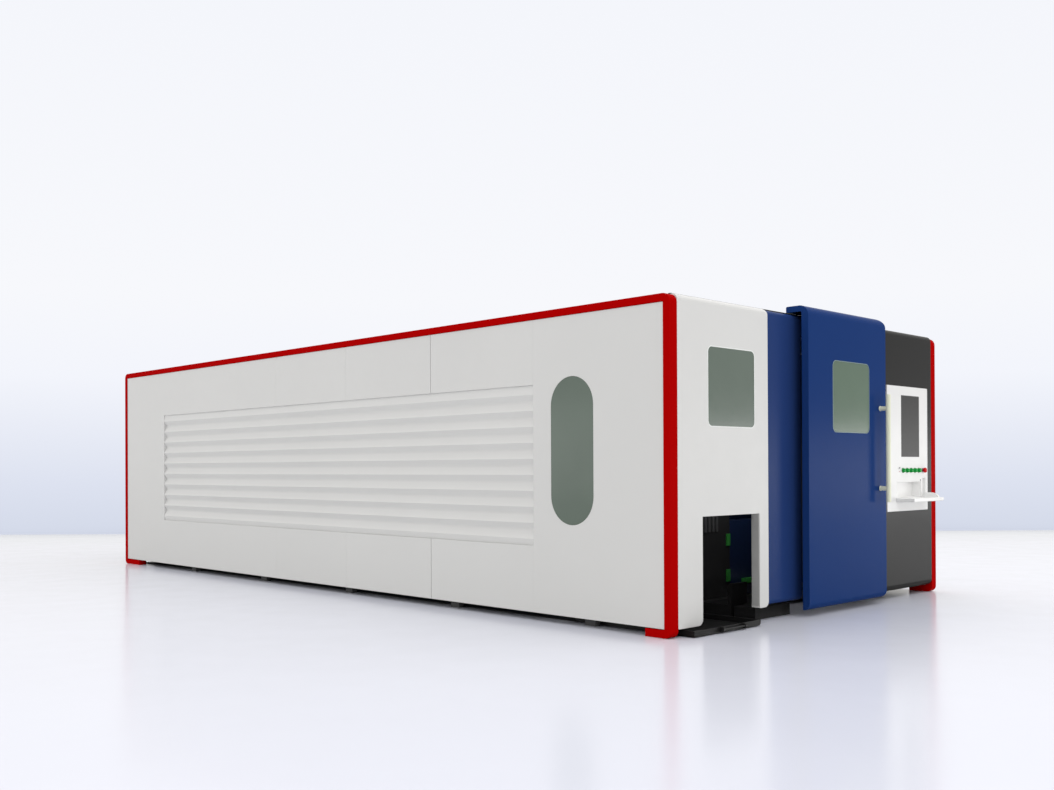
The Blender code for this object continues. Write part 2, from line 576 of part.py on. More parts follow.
for i, y in enumerate(BUTTON_Y):
    cut(control_panel, rod("button_hole_%d" % (i + 1), 'X', (y, BUTTON_Z), BUTTON_R + 0.0004, -0.03, 0.05, coll=CUTTERS, n=16))
    b = turned("start_button" if i == 0 else "push_button_%d" % (i + 1),
               [(0, -0.0040), (0.0205, -0.0040), (0.0205, 0.0), (BUTTON_R, 0.0), (BUTTON_R, 0.0320), (0.0155, 0.0340), (0, 0.0340)],
               (0.0, y, BUTTON_Z), (1, 0, 0), M_GREEN, n=16)
    a = axis_at("axis_button_%d" % (i + 1), (0.0, y, BUTTON_Z))
    b.parent = a
    b.matrix_parent_inverse = Matrix.Translation(-WORLD[a.name])

cut(control_panel, rod("estop_hole", 'X', (ESTOP_Y, ESTOP_Z), 0.0114, -0.03, 0.05, coll=CUTTERS, n=16))
estop = turned("emergency_stop", [(0, -0.010), (0.0145, -0.010), (0.0145, -0.0003), (0.011, -0.0003), (0.011, 0.0240),
                                  (0.0205, 0.0240), (0.0225, 0.029), (0.0215, 0.040), (0.0150, 0.0445), (0, 0.0455)],
               (0.0, ESTOP_Y, ESTOP_Z), (1, 0, 0), M_ESTOP, n=20)
a = axis_at("axis_emergency_stop", (0.0, ESTOP_Y, ESTOP_Z))
estop.parent = a
estop.matrix_parent_inverse = Matrix.Translation(-WORLD[a.name])

cut(control_panel, rod("key_hole", 'X', (KEY_Y, KEY_Z), 0.0064, -0.03, 0.05, coll=CUTTERS, n=12))
key = turned("key_switch", [(0, -0.004), (0.0085, -0.004), (0.0085, -0.0003), (0.0060, -0.0003), (0.0060, 0.0205), (0, 0.0205)],
             (0.0, KEY_Y, KEY_Z), (1, 0, 0), M_BLACK, n=12)
a = axis_at("axis_key_switch", (0.0, KEY_Y, KEY_Z))
key.parent = a
key.matrix_parent_inverse = Matrix.Translation(-WORLD[a.name])

hy0, hy1, hz0, hz1, hx0, hx1 = SHELF
shelf = box("keyboard_shelf", hx0, hx1, hy0, hy1, hz0, hz1, M_PANEL, bevel=0.003, seg=1,
            edges=on_plane('X', SHELF[5]))
cut(shelf, box("shelf_well", hx0 + 0.012, hx1 - 0.012, hy0 + 0.012, 3.590, hz1 - 0.010, hz1 + 0.02, coll=CUTTERS))
wing = [(0.0205, hz1 - 0.004), (0.150, hz1 - 0.004)] + [
    (0.062 + 0.088 * math.cos(math.radians(118.0 * k / 10)), hz1 + 0.042 * math.sin(math.radians(118.0 * k / 10))) for k in range(11)]
cut(shelf, prism("shelf_wing", 'Y', wing, 3.611, 3.634, coll=CUTTERS), 'UNION')
axis_shelf = axis_at("axis_keyboard_shelf", (0.013, (hy0 + hy1) / 2, hz1))
carry(axis_shelf, shelf)

# ---------------------------------------------------- scrap tray and base
ty0, ty1, tx0, tx1, tz0, tz1 = TRAY
tray = prism("scrap_tray", 'X', [(ty0, tz0), (ty1 - 0.012, tz0), (ty1, tz0 + 0.014), (ty1, tz1), (ty0, tz1)], tx0, tx1, M_BLACK)
cut(tray, box("tray_space", tx0 + 0.006, tx1 - 0.010, ty0 + 0.006, ty1 - 0.020, tz0 + 0.004, tz1 + 0.02, coll=CUTTERS))
tray_handle = box("scrap_tray_handle", tx1 + GAP, tx1 + 0.030, 0.440, 0.462, 0.012, 0.044, M_BLACK)
cut(tray_handle, box("tray_bracket", tx1 + GAP, tx1 + 0.030, 0.700, 0.722, 0.012, 0.044, coll=CUTTERS), 'UNION')
cut(tray_handle, rod("tray_bar", 'Y', (tx1 + 0.021, 0.028), 0.0065, 0.450, 0.712, coll=CUTTERS, n=14), 'UNION')
axis_tray = axis_at("axis_scrap_tray", (0.08, 0.5435, 0.026))
carry(axis_tray, tray, tray_handle)

plinth_loop = [(-0.600, 1.173), (-0.342, 1.173), (-0.342, 1.320), (-0.300, 1.320), (-0.300, 1.150), (-0.112, 1.150),
               (-0.112, 1.620), (-0.440, 1.620), (-0.440, 3.725), (-0.600, 3.725)]
plinth = prism("base_plinth", 'Z', plinth_loop, 0.0, 0.0905, M_BLACK)
cut(plinth, box("plinth_post", -0.374, -0.342, 1.173, 1.382, 0.050, 0.250, coll=CUTTERS), 'UNION')
for k, (ya, yb) in enumerate(((1.720, 2.400), (2.540, 3.360), (3.500, 3.620))):
    cut(plinth, box("plinth_notch_%d" % k, -0.70, -0.40, ya, yb, -0.02, 0.030, coll=CUTTERS))

pan_loop = [(-8.250, 0.160), (-1.010, 0.160), (-1.010, 1.000), (-0.610, 1.000), (-0.610, 3.720), (-8.250, 3.720)]
floor_pan = prism("floor_pan", 'Z', pan_loop, 0.003, 0.008, M_BLACK)
for nm, ya, yb in (("pan_cut_left", 0.2795, 0.5505), ("pan_cut_right", 3.3295, 3.6005)):
    cut(floor_pan, box(nm, BED_X0 - 0.001, BED_X1 + 0.001, ya, yb, -0.02, 0.03, coll=CUTTERS))

hopper = box("scrap_hopper", -1.199, -1.089, 0.600, 2.215, 0.0085, 0.770, M_BLACK)
cut(hopper, box("hopper_space", -1.194, -1.094, 0.605, 2.210, 0.030, 0.80, coll=CUTTERS))


# --------------------------------------------------------- sills and beams
def sill(name, y0, y1):
    """Sill of box section under a long side, standing on short feet."""
    x0, x1 = -8.290, -0.080
    ob = box(name, x0, x1, y0, y1, 0.062, 0.130, M_BLACK)
    cut(ob, box("tube_" + name, x0 - 0.01, x1 + 0.01, y0 + 0.005, y1 - 0.005, 0.067, 0.125, coll=CUTTERS))
    for k, f in enumerate((-8.160, -6.800, -5.300, -3.800, -2.300, -0.800)):
        cut(ob, box("foot%d_%s" % (k, name), f - 0.050, f + 0.050, y0 + 0.004, y1 - 0.004, 0.0, 0.0645, coll=CUTTERS), 'UNION')
    return ob


sill("sill_left", 0.0860, 0.1460)
sill("sill_right", WIDTH - 0.1460, WIDTH - 0.0860)

header = box("header_beam", -0.150, -0.0705, 0.0860, 3.7940, 2.200, 2.2950, M_BLACK)
cut(header, box("tube_header", -0.145, -0.0755, 0.05, 3.83, 2.205, 2.290, coll=CUTTERS))
for nm, x in (("roof_beam_front", -2.850), ("roof_beam_rear", -5.600)):
    b = box(nm, x - 0.040, x + 0.040, 0.0860, 3.7940, 2.170, 2.2500, M_BLACK)
    cut(b, box("tube_" + nm, x - 0.035, x + 0.035, 0.05, 3.83, 2.175, 2.245, coll=CUTTERS))

ROOF_TOP = 2.290


def roof(name, x0, x1, port=None):
    ob = prism(name, 'Z', [(x0, BAND_DEPTH + 0.0005), (x1, BAND_DEPTH + 0.0005), (x1, WIDTH - BAND_DEPTH - 0.0005), (x0, WIDTH - BAND_DEPTH - 0.0005)],
               ROOF_TOP - 0.0395, ROOF_TOP, M_WHITE)
    cut(ob, box("hollow_" + name, x0 + SKIN, x1 - SKIN, BAND_DEPTH + 0.0035, WIDTH - BAND_DEPTH - 0.0035, ROOF_TOP - 0.06, ROOF_TOP - SKIN, coll=CUTTERS))
    return ob


roof_front = roof("roof_panel_front", -2.8485, -0.1515)
roof("roof_panel_middle", -5.5985, -2.8515)
roof("roof_panel_rear", X_REAR - 0.001, -5.6015)

# ---------------------------------------------------------------- rear end
REAR_FACE = -LENGTH + 0.010
SLOT_Y0, SLOT_Y1, SLOT_Z0, SLOT_Z1 = 0.520, 3.360, 0.520, 0.940
ry0, ry1 = BAND_DEPTH + 0.0005, WIDTH - BAND_DEPTH - 0.0005
rear = prism("rear_panel", 'X', [(ry0, SIDE_LOW), (ry1, SIDE_LOW), (ry1, 2.296), (ry0, 2.296)], REAR_FACE, REAR_FACE + 0.036, M_SIDE)
rear_hollow = prism("hollow_rear_panel", 'X', [(ry0 + SKIN, SIDE_LOW + SKIN), (ry1 - SKIN, SIDE_LOW + SKIN), (ry1 - SKIN, 2.296 - SKIN), (ry0 + SKIN, 2.296 - SKIN)],
                    REAR_FACE + SKIN, REAR_FACE + 0.06, coll=CUTTERS)
cut(rear_hollow, box("slot_rim", REAR_FACE - 0.01, REAR_FACE + 0.07, SLOT_Y0 - SKIN, SLOT_Y1 + SKIN, SLOT_Z0 - SKIN, SLOT_Z1 + SKIN, coll=CUTTERS))
cut(rear, rear_hollow)
cut(rear, box("rear_slot", REAR_FACE - 0.02, REAR_FACE + 0.08, SLOT_Y0, SLOT_Y1, SLOT_Z0, SLOT_Z1, coll=CUTTERS))

GATE_X0, GATE_X1 = -8.3285, -8.3085
gate = box("rear_gate", GATE_X0, GATE_X1, 0.450, 3.430, 0.950, 1.430, M_GREY)
cut(gate, box("hollow_gate", GATE_X0 + SKIN, GATE_X1 + 0.01, 0.453, 3.427, 0.953, 1.427, coll=CUTTERS))
axis_gate = axis_at("axis_rear_gate", (GATE_X0, 1.940, 1.190))
carry(axis_gate, gate)


# --------------------------------------------------------------- the bed
def bed_beam(name, y0, y1, ledge_side):
    """Welded box beam with an inner ledge that the pallet's wheels run on."""
    if ledge_side > 0:
        loop = [(y0, 0.0), (y1, 0.0), (y1, 0.548), (y1 + 0.075, 0.548), (y1 + 0.075, 0.560), (y1, 0.560), (y1, BED_TOP), (y0, BED_TOP)]
    else:
        loop = [(y0, 0.0), (y1, 0.0), (y1, BED_TOP), (y0, BED_TOP), (y0, 0.560), (y0 - 0.075, 0.560), (y0 - 0.075, 0.548), (y0, 0.548)]
    t = 0.014
    tube = [(y0 + t, t), (y1 - t, t), (y1 - t, BED_TOP - t), (y0 + t, BED_TOP - t)]
    return prism(name, 'X', loop, BED_X0, BED_X1, M_NAVY, holes=[tube])


bed_beam("bed_beam_left", 0.280, 0.550, 1)
bed_beam("bed_beam_right", 3.330, 3.600, -1)
front_beam = box("bed_front_beam", -1.3305, BED_X1 - 0.0005, 0.5505, 3.3295, 0.100, 0.540, M_NAVY)
cut(front_beam, box("tube_front_beam", -1.3205, BED_X1 - 0.0105, 0.50, 3.38, 0.110, 0.530, coll=CUTTERS))
rear_beam = box("bed_rear_beam", -8.150, -8.000, 0.5505, 3.3295, 0.100, 0.480, M_NAVY)
cut(rear_beam, box("tube_rear_beam", -8.140, -8.010, 0.50, 3.38, 0.110, 0.470, coll=CUTTERS))
cut(front_beam, box("front_column", -1.210, -1.090, 2.225, 2.700, 0.0085, 0.668, coll=CUTTERS), 'UNION')
cut(front_beam, box("column_space", -1.1925, -1.098, 2.233, 2.692, -0.05, 0.660, coll=CUTTERS))

RAIL_TOP = 0.815
for nm, y in (("gantry_rail_left", 0.420), ("gantry_rail_right", 3.460)):
    box(nm, BED_X0 + 0.020, BED_X1 - 0.010, y - 0.0225, y + 0.0225, BED_TOP + GAP, RAIL_TOP, M_STEEL)

# ------------------------------------------------------------------ gantry
GX0, GX1 = -1.700, -1.460
gantry_loop = [(0.340, RAIL_TOP + GAP), (0.500, RAIL_TOP + GAP), (0.500, 0.930), (3.380, 0.930), (3.380, RAIL_TOP + GAP),
               (3.540, RAIL_TOP + GAP), (3.540, 1.190), (0.340, 1.190)]
gantry = prism("gantry_beam", 'X', gantry_loop, GX0, GX1, M_ALU)
cut(gantry, box("tube_gantry", GX0 + 0.014, GX1 - 0.014, 0.30, 3.58, 0.944, 1.176, coll=CUTTERS))
axis_gantry = axis_at("axis_gantry", ((GX0 + GX1) / 2, 1.940, RAIL_TOP))

carriage = box("cross_carriage", GX1 + GAP, GX1 + 0.090, 1.800, 2.080, 0.960, 1.280, M_BLACK, bevel=0.006, seg=1)
axis_carriage = axis_at("axis_cross_carriage", (GX1 + 0.04, 1.940, 1.06), axis_gantry)

HX = GX1 + 0.090 + GAP
head = box("cutting_head", HX, HX + 0.110, 1.880, 2.000, 1.060, 1.480, M_ALU, bevel=0.006, seg=1)
cut(head, rod("head_body", 'Z', (HX + 0.055, 1.940), 0.038, 0.960, 1.100, coll=CUTTERS, n=20), 'UNION')
nozzle = turned("head_nozzle", [(0, 0.926), (0.004, 0.926), (0.014, 0.940), (0.024, 0.948), (0.024, 0.970), (0, 0.970)],
                (HX + 0.055, 1.940, 0.0), (0, 0, 1), M_ALU, coll=CUTTERS, n=20)
cut(head, nozzle, 'UNION')
axis_head = axis_at("axis_cutting_head", (HX + 0.055, 1.940, 1.2), axis_carriage)
carry(axis_gantry, gantry)
carry(axis_carriage, carriage)
carry(axis_head, head)

# ------------------------------------------------------------------ pallet
PX0, PX1, PY0, PY1 = -7.950, -1.780, 0.5700, 3.3100
ring = [(PX0, PY0), (PX1, PY0), (PX1, PY1), (PX0, PY1)]
inner = [(PX0 + 0.07, PY0 + 0.07), (PX1 - 0.07, PY0 + 0.07), (PX1 - 0.07, PY1 - 0.07), (PX0 + 0.07, PY1 - 0.07)]
pallet = prism("pallet_frame", 'Z', ring, 0.5605, 0.640, M_NAVY, holes=[inner])
SLATS = 22
slat_x0, slat_x1 = PX0 + 0.12, PX1 - 0.12
slat_pitch = (slat_x1 - slat_x0) / (SLATS - 1)
bars = [(PY0 + 0.015, PY0 + 0.055), (PY1 - 0.055, PY1 - 0.015)]
slats = prism("slat_grid", 'Z', [(slat_x0 - 0.004, bars[0][0]), (slat_x1 + 0.004, bars[0][0]), (slat_x1 + 0.004, bars[1][1]), (slat_x0 - 0.004, bars[1][1])],
              0.6405, 0.740, M_BARE,
              holes=[[(slat_x0 + i * slat_pitch + 0.004, bars[0][1]), (slat_x0 + (i + 1) * slat_pitch - 0.004, bars[0][1]),
                      (slat_x0 + (i + 1) * slat_pitch - 0.004, bars[1][0]), (slat_x0 + i * slat_pitch + 0.004, bars[1][0])]
                     for i in range(SLATS - 1)])
for k, (ya, yb) in enumerate(bars):
    cut(slats, box("bar_step_%d" % k, slat_x0 - 0.1, slat_x1 + 0.1, ya - 0.01, yb, 0.690, 0.80, coll=CUTTERS))
axis_pallet = axis_at("axis_pallet", ((PX0 + PX1) / 2, 1.940, 0.56))
carry(axis_pallet, pallet, slats)

# ------------------------------------------------- laser source, electrics
EC = (-1.185, -0.160, 2.950, 3.800, 0.1315, 2.150)
cab = box("electrical_cabinet", *EC, M_BLACK)
cut(cab, box("cabinet_space", EC[0] + 0.004, EC[1] - 0.004, EC[2] + 0.004, EC[3] + 0.05, EC[4] + 0.006, EC[5] - 0.004, coll=CUTTERS))
box("laser_source", -1.150, -0.640, 2.990, 3.690, 0.1380, 1.000, M_PANEL, bevel=0.006, seg=1)
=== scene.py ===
"""Looks of the enclosed laser cutting machine: covers, glass, panel, interior."""
import json
import math

import bmesh
import bpy
from mathutils import Matrix, Vector


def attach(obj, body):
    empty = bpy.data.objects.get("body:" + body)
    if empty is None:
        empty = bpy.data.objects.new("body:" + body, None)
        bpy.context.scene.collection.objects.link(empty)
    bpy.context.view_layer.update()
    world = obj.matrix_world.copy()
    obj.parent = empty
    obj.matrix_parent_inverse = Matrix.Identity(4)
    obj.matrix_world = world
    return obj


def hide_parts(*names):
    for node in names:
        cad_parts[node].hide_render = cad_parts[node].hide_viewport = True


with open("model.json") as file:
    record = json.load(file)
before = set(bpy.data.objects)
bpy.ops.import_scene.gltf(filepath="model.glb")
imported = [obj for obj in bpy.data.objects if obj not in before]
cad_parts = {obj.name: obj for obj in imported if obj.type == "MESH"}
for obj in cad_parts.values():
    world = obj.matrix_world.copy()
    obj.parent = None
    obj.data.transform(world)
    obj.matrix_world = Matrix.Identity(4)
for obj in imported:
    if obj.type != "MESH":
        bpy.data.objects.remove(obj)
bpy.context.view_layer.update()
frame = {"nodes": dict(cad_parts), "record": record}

# Sizes below are measured from the machine's near corner, as in the CAD:
# x from the operator's end face (negative to the rear), y from the long side
# with the oval window, z from the floor.
XO, YO = 4.092, -1.940
H, L, W = 2.300, 8.376, 3.880
SKIN = 0.003


def at(x, y, z):
    return Vector((x + XO, y + YO, z))


# ------------------------------------------------------------------ materials
def srgb(r, g, b):
    f = lambda c: c / 12.92 if c <= 0.04045 else ((c + 0.055) / 1.055) ** 2.4
    return (f(r / 255), f(g / 255), f(b / 255))


def base(name):
    m = bpy.data.materials.new(name)
    m.use_nodes = True
    nt = m.node_tree
    return m, nt, nt.nodes["Principled BSDF"]


def noise(nt, vec, scale, detail=2.0, rough=0.5):
    n = nt.nodes.new("ShaderNodeTexNoise")
    n.inputs["Scale"].default_value = scale
    n.inputs["Detail"].default_value = detail
    n.inputs["Roughness"].default_value = rough
    nt.links.new(vec, n.inputs["Vector"])
    return n.outputs["Fac"]


def ramp(nt, fac, stops):
    r = nt.nodes.new("ShaderNodeValToRGB")
    e = r.color_ramp.elements
    while len(e) < len(stops):
        e.new(0.5)
    for el, (p, c) in zip(e, stops):
        el.position = p
        el.color = (*c, 1.0)
    nt.links.new(fac, r.inputs["Fac"])
    return r.outputs["Color"]


def span(nt, fac, a, b, lo=0.3, hi=0.7):
    r = nt.nodes.new("ShaderNodeMapRange")
    r.inputs["From Min"].default_value = lo
    r.inputs["From Max"].default_value = hi
    r.inputs["To Min"].default_value = a
    r.inputs["To Max"].default_value = b
    nt.links.new(fac, r.inputs["Value"])
    return r.outputs["Result"]


def stretched(nt, sx, sy, sz):
    tc = nt.nodes.new("ShaderNodeTexCoord")
    mp = nt.nodes.new("ShaderNodeMapping")
    mp.inputs["Scale"].default_value = (sx, sy, sz)
    nt.links.new(tc.outputs["Object"], mp.inputs["Vector"])
    return mp.outputs["Vector"]


def bump(nt, bsdf, height, distance, strength=1.0):
    b = nt.nodes.new("ShaderNodeBump")
    b.inputs["Distance"].default_value = distance
    b.inputs["Strength"].default_value = strength
    nt.links.new(height, b.inputs["Height"])
    nt.links.new(b.outputs["Normal"], bsdf.inputs["Normal"])


def paint(name, rgb, rough=0.4, spec=0.5, tone=0.02, grain=520.0, depth=0.00010, cloud=0.7, coat=0.0, spread=0.04, ior=1.5):
    """Powder coat: fine orange-peel grain, faint clouding, roughness that
    wanders a little."""
    m, nt, b = base(name)
    v = stretched(nt, 1, 1, 1)
    lo = tuple(c * (1 - tone) for c in rgb)
    hi = tuple(min(1.0, c * (1 + tone)) for c in rgb)
    col = ramp(nt, noise(nt, v, cloud, 3), [(0.30, lo), (0.50, rgb), (0.70, hi)])
    nt.links.new(col, b.inputs["Base Color"])
    nt.links.new(span(nt, noise(nt, v, 9.0, 4), rough - spread, rough + spread), b.inputs["Roughness"])
    bump(nt, b, noise(nt, v, grain, 2), depth, 0.6)
    b.inputs["Specular IOR Level"].default_value = spec
    b.inputs["IOR"].default_value = ior
    b.inputs["Coat Weight"].default_value = coat
    b.inputs["Coat Roughness"].default_value = 0.12
    return m


def metal(name, rgb, rough=0.3, along='X', dark=0.85, scratch=0.00003, grime=None):
    """Ground or brushed metal, the grain running along one axis."""
    m, nt, b = base(name)
    s = {'X': (6, 420, 420), 'Y': (420, 6, 420), 'Z': (420, 420, 6)}[along]
    g = noise(nt, stretched(nt, *s), 1.0, 3, 0.6)
    big = noise(nt, stretched(nt, 1, 1, 1), 5.0, 4)
    lo = tuple(c * dark for c in rgb)
    col = ramp(nt, g, [(0.25, lo), (0.75, rgb)])
    if grime:
        mix = nt.nodes.new("ShaderNodeMix")
        mix.data_type = 'RGBA'
        nt.links.new(span(nt, big, 0.0, 0.75, 0.45, 0.72), mix.inputs["Factor"])
        nt.links.new(col, mix.inputs["A"])
        mix.inputs["B"].default_value = (*grime, 1.0)
        col = mix.outputs["Result"]
    nt.links.new(col, b.inputs["Base Color"])
    b.inputs["Metallic"].default_value = 1.0
    nt.links.new(span(nt, g, rough - 0.06, rough + 0.10), b.inputs["Roughness"])
    bump(nt, b, g, scratch, 0.5)
    return m


def plastic(name, rgb, rough=0.3, spec=0.5, depth=0.00004, grain=900.0, tone=0.04):
    m = paint(name, rgb, rough, spec, tone, grain, depth, 14.0)
    return m


def glazing(name, rgb, rough=0.10, spec=0.6, through=0.12):
    """Tinted laser-safety sheet: body colour deep in the sheet, faint
    streaking, a hard glossy surface."""
    m, nt, b = base(name)
    v = stretched(nt, 1, 1, 1)
    lo = tuple(c * 0.94 for c in rgb)
    hi = tuple(c * 1.05 for c in rgb)
    nt.links.new(ramp(nt, noise(nt, v, 1.6, 2), [(0.3, lo), (0.7, hi)]), b.inputs["Base Color"])
    nt.links.new(span(nt, noise(nt, v, 30.0, 3), rough - 0.02, rough + 0.04), b.inputs["Roughness"])
    bump(nt, b, noise(nt, v, 3.0, 2), 0.0004, 0.10)
    b.inputs["Specular IOR Level"].default_value = spec
    b.inputs["IOR"].default_value = 1.5
    b.inputs["Transmission Weight"].default_value = through
    return m


SIDE = paint("side_powder_coat", (0.690, 0.690, 0.690), 0.46, 0.35, 0.012)
LOUVRE = paint("louvre_powder_coat", (0.715, 0.715, 0.715), 0.46, 0.35, 0.012)
WHITE = paint("white_powder_coat", (0.700, 0.700, 0.698), 0.42, 0.35, 0.010)
ROOF = paint("roof_powder_coat", (0.56, 0.56, 0.56), 0.50, 0.35, 0.02)
RED = paint("red_gloss_paint", (0.420, 0.0006, 0.0008), 0.34, 0.02, 0.02, 380.0, 0.00008, ior=1.12)
BLUE = paint("blue_powder_coat", (0.0112, 0.0405, 0.1680), 0.23, 0.021, 0.010, 520.0, 0.00005, spread=0.012, ior=1.34)
# Portal frame: the door's blue with a lighter base colour. This is a painted highlight standing in for the reflection
# that the door blocks next to it.
BLUE_FRAME_LIT = paint("blue_coat_painted_lighter", (0.0190, 0.0460, 0.1690), 0.26, 0.045, 0.010, 520.0, 0.00005, spread=0.012, ior=1.34)
GREY = paint("dark_grey_powder_coat", (0.0280, 0.0280, 0.0283), 0.24, 0.035, 0.015, 300.0, 0.00003, spread=0.012)
PANEL = paint("panel_white_coat", (0.755, 0.755, 0.755), 0.38, 0.30, 0.006)
CREAM = paint("cream_paint", srgb(228, 230, 208), 0.36, 0.3, 0.02)
# Darker than the other blacks: painted shade for the plinth deep under the machine.
PLINTH_SHADE_BLACK = paint("plinth_black_painted_shade", (0.0125, 0.0125, 0.0130), 0.55, 0.10, 0.10, 420.0, 0.00014)
# Bead colours lighter than their surrounds: painted highlights along the window edges.
RIM_HIGHLIGHT = plastic("rim_white_painted_highlight", (0.86, 0.88, 0.87), 0.42, 0.3)
RIM_HIGHLIGHT_DOOR = plastic("rim_grey_green_painted_highlight", (0.180, 0.260, 0.270), 0.42, 0.3)
SILL = paint("sill_grey_paint", (0.085, 0.085, 0.088), 0.55, 0.15, 0.10, 420.0, 0.00014)
# Grey standing in for the shade on the notch's return face: painted shade.
NOTCH_RETURN_SHADE = plastic("return_grey_painted_shade", (0.470, 0.470, 0.470), 0.55, 0.2)
BLACK = paint("black_powder_coat", (0.030, 0.030, 0.031), 0.48, 0.20, 0.10, 420.0, 0.00014)
TRAY = paint("tray_black_paint", (0.012, 0.012, 0.0125), 0.42, 0.15, 0.12, 420.0, 0.00014)
NAVY = paint("navy_machine_enamel", (0.0110, 0.0240, 0.0760), 0.42, 0.4, 0.08, 300.0, 0.00016)
# Whiter than the panel's paint: painted light that lifts the shade inside the niche and the wing slot.
NICHE_WHITE_LIT = paint("recess_white_painted_light", (0.930, 0.930, 0.930), 0.45, 0.30, 0.012)
SHELF = paint("shelf_white", (0.865, 0.865, 0.865), 0.45, 0.30, 0.012)
GREEN = paint("green_stop_block", (0.050, 0.330, 0.060), 0.45, 0.2, 0.05)
STEEL = metal("ground_steel", (0.56, 0.56, 0.57), 0.26, 'X')
STEEL_Y = metal("ground_steel_cross", (0.56, 0.56, 0.57), 0.26, 'Y')
STEEL_DARK = metal("black_oxide_steel", (0.050, 0.050, 0.054), 0.48, 'Y')
STEEL_Z = metal("ground_steel_upright", (0.56, 0.56, 0.57), 0.26, 'Z')
ALU = metal("brushed_aluminium", (0.66, 0.67, 0.68), 0.32, 'Y')
ALU_Z = metal("brushed_aluminium_upright", (0.66, 0.67, 0.68), 0.30, 'Z')
ZINC = metal("zinc_plated", (0.60, 0.60, 0.58), 0.32, 'Z')
SLAT = metal("hot_rolled_steel", (0.23, 0.22, 0.21), 0.52, 'Y', 0.7, 0.0001, (0.12, 0.085, 0.065))
COPPER = metal("nozzle_copper", (0.80, 0.42, 0.26), 0.24, 'Z')
GLASS = glazing("laser_safety_glazing", (0.112, 0.148, 0.122), 0.16, 0.36, 0.0)
GLASS_DOOR = glazing("door_safety_glazing", (0.103, 0.158, 0.114), 0.16, 0.19, 0.0)
SCREEN = glazing("display_glass", (0.034, 0.034, 0.034), 0.32, 0.10, 0.0)
BEZEL = plastic("bezel_black", (0.020, 0.020, 0.021), 0.42)
BTN_GREEN = plastic("button_green", (0.002, 0.300, 0.042), 0.42, 0.12)
BTN_RED = plastic("button_red", (0.520, 0.002, 0.004), 0.40, 0.12)
BTN_BASE = plastic("button_base_green", (0.005, 0.225, 0.038), 0.45, 0.15)
YELLOW = plastic("stop_ring_yellow", (0.62, 0.42, 0.03), 0.40)
RING = metal("button_ring", (0.86, 0.87, 0.86), 0.28, 'Z')
RUBBER = plastic("rubber_seal", (0.016, 0.016, 0.017), 0.62, 0.3, 0.0002, 260.0, 0.10)
LAMP_RED = plastic("lamp_red", (0.55, 0.05, 0.06), 0.25)
KEYBLACK = plastic("key_black", (0.045, 0.045, 0.047), 0.40)
BRASS = metal("brass", (0.66, 0.50, 0.22), 0.30, 'Z')
GREY_PLASTIC = plastic("device_grey", (0.46, 0.47, 0.47), 0.45)
WHITE_PLASTIC = plastic("duct_white", (0.62, 0.62, 0.61), 0.50)
ORANGE = plastic("switch_orange", (0.65, 0.16, 0.02), 0.40)
BLUE_PLASTIC = plastic("terminal_blue", (0.05, 0.16, 0.45), 0.40)
PLATE = metal("galvanised_plate", (0.62, 0.63, 0.64), 0.42, 'Z', 0.9)


# ------------------------------------------------------------------- geometry
def bm_box(x0, x1, y0, y1, z0, z1):
    bm = bmesh.new()
    bmesh.ops.create_cube(bm, size=1.0)
    bmesh.ops.scale(bm, vec=(x1 - x0, y1 - y0, z1 - z0), verts=bm.verts)
    bmesh.ops.translate(bm, vec=at((x0 + x1) / 2, (y0 + y1) / 2, (z0 + z1) / 2), verts=bm.verts)
    return bm


def corner(points, seg=12):
    """Outline from (u, v) or (u, v, radius) corners, each radius an arc."""
    out = []
    n = len(points)
    for i, p in enumerate(points):
        r = p[2] if len(p) > 2 else 0.0
        q = Vector(p[:2])
        if r <= 0:
            out.append((q.x, q.y))
            continue
        a = (Vector(points[i - 1][:2]) - q).normalized()
        b = (Vector(points[(i + 1) % n][:2]) - q).normalized()
        half = a.angle(b) / 2
        t = r / math.tan(half)
        centre = q + (a + b).normalized() * (r / math.sin(half))
        s = q + a * t - centre
        e = q + b * t - centre
        turn = math.atan2(s.x * e.y - s.y * e.x, s.dot(e))
        for k in range(seg + 1):
            w = turn * k / seg
            out.append((centre.x + s.x * math.cos(w) - s.y * math.sin(w),
                        centre.y + s.x * math.sin(w) + s.y * math.cos(w)))
    return out


def round_rect(u0, u1, v0, v1, r, seg=10):
    return corner([(u0, v0, r), (u1, v0, r), (u1, v1, r), (u0, v1, r)], seg)


def stadium(cu, cv, r, height, seg=28):
    k = height / 2 - r
    up = [(cu + r * math.cos(math.pi * i / seg), cv + k + r * math.sin(math.pi * i / seg)) for i in range(seg + 1)]
    low = [(cu - r * math.cos(math.pi * i / seg), cv - k - r * math.sin(math.pi * i / seg)) for i in range(seg + 1)]
    return up + low


def circle(cu, cv, r, n=32):
    return [(cu + r * math.cos(2 * math.pi * i / n), cv + r * math.sin(2 * math.pi * i / n)) for i in range(n)]


TURN = {
    'X': Matrix(((0, 0, 1, 0), (1, 0, 0, 0), (0, 1, 0, 0), (0, 0, 0, 1))),
    'Y': Matrix(((1, 0, 0, 0), (0, 0, -1, 0), (0, 1, 0, 0), (0, 0, 0, 1))),
    'Z': Matrix.Identity(4),
}


def tidy(bm, angle=0.0008):
    bmesh.ops.remove_doubles(bm, verts=bm.verts, dist=0.00001)
    bmesh.ops.recalc_face_normals(bm, faces=bm.faces)
    bmesh.ops.dissolve_limit(bm, angle_limit=angle, verts=bm.verts, edges=bm.edges, use_dissolve_boundaries=False)
    return bm


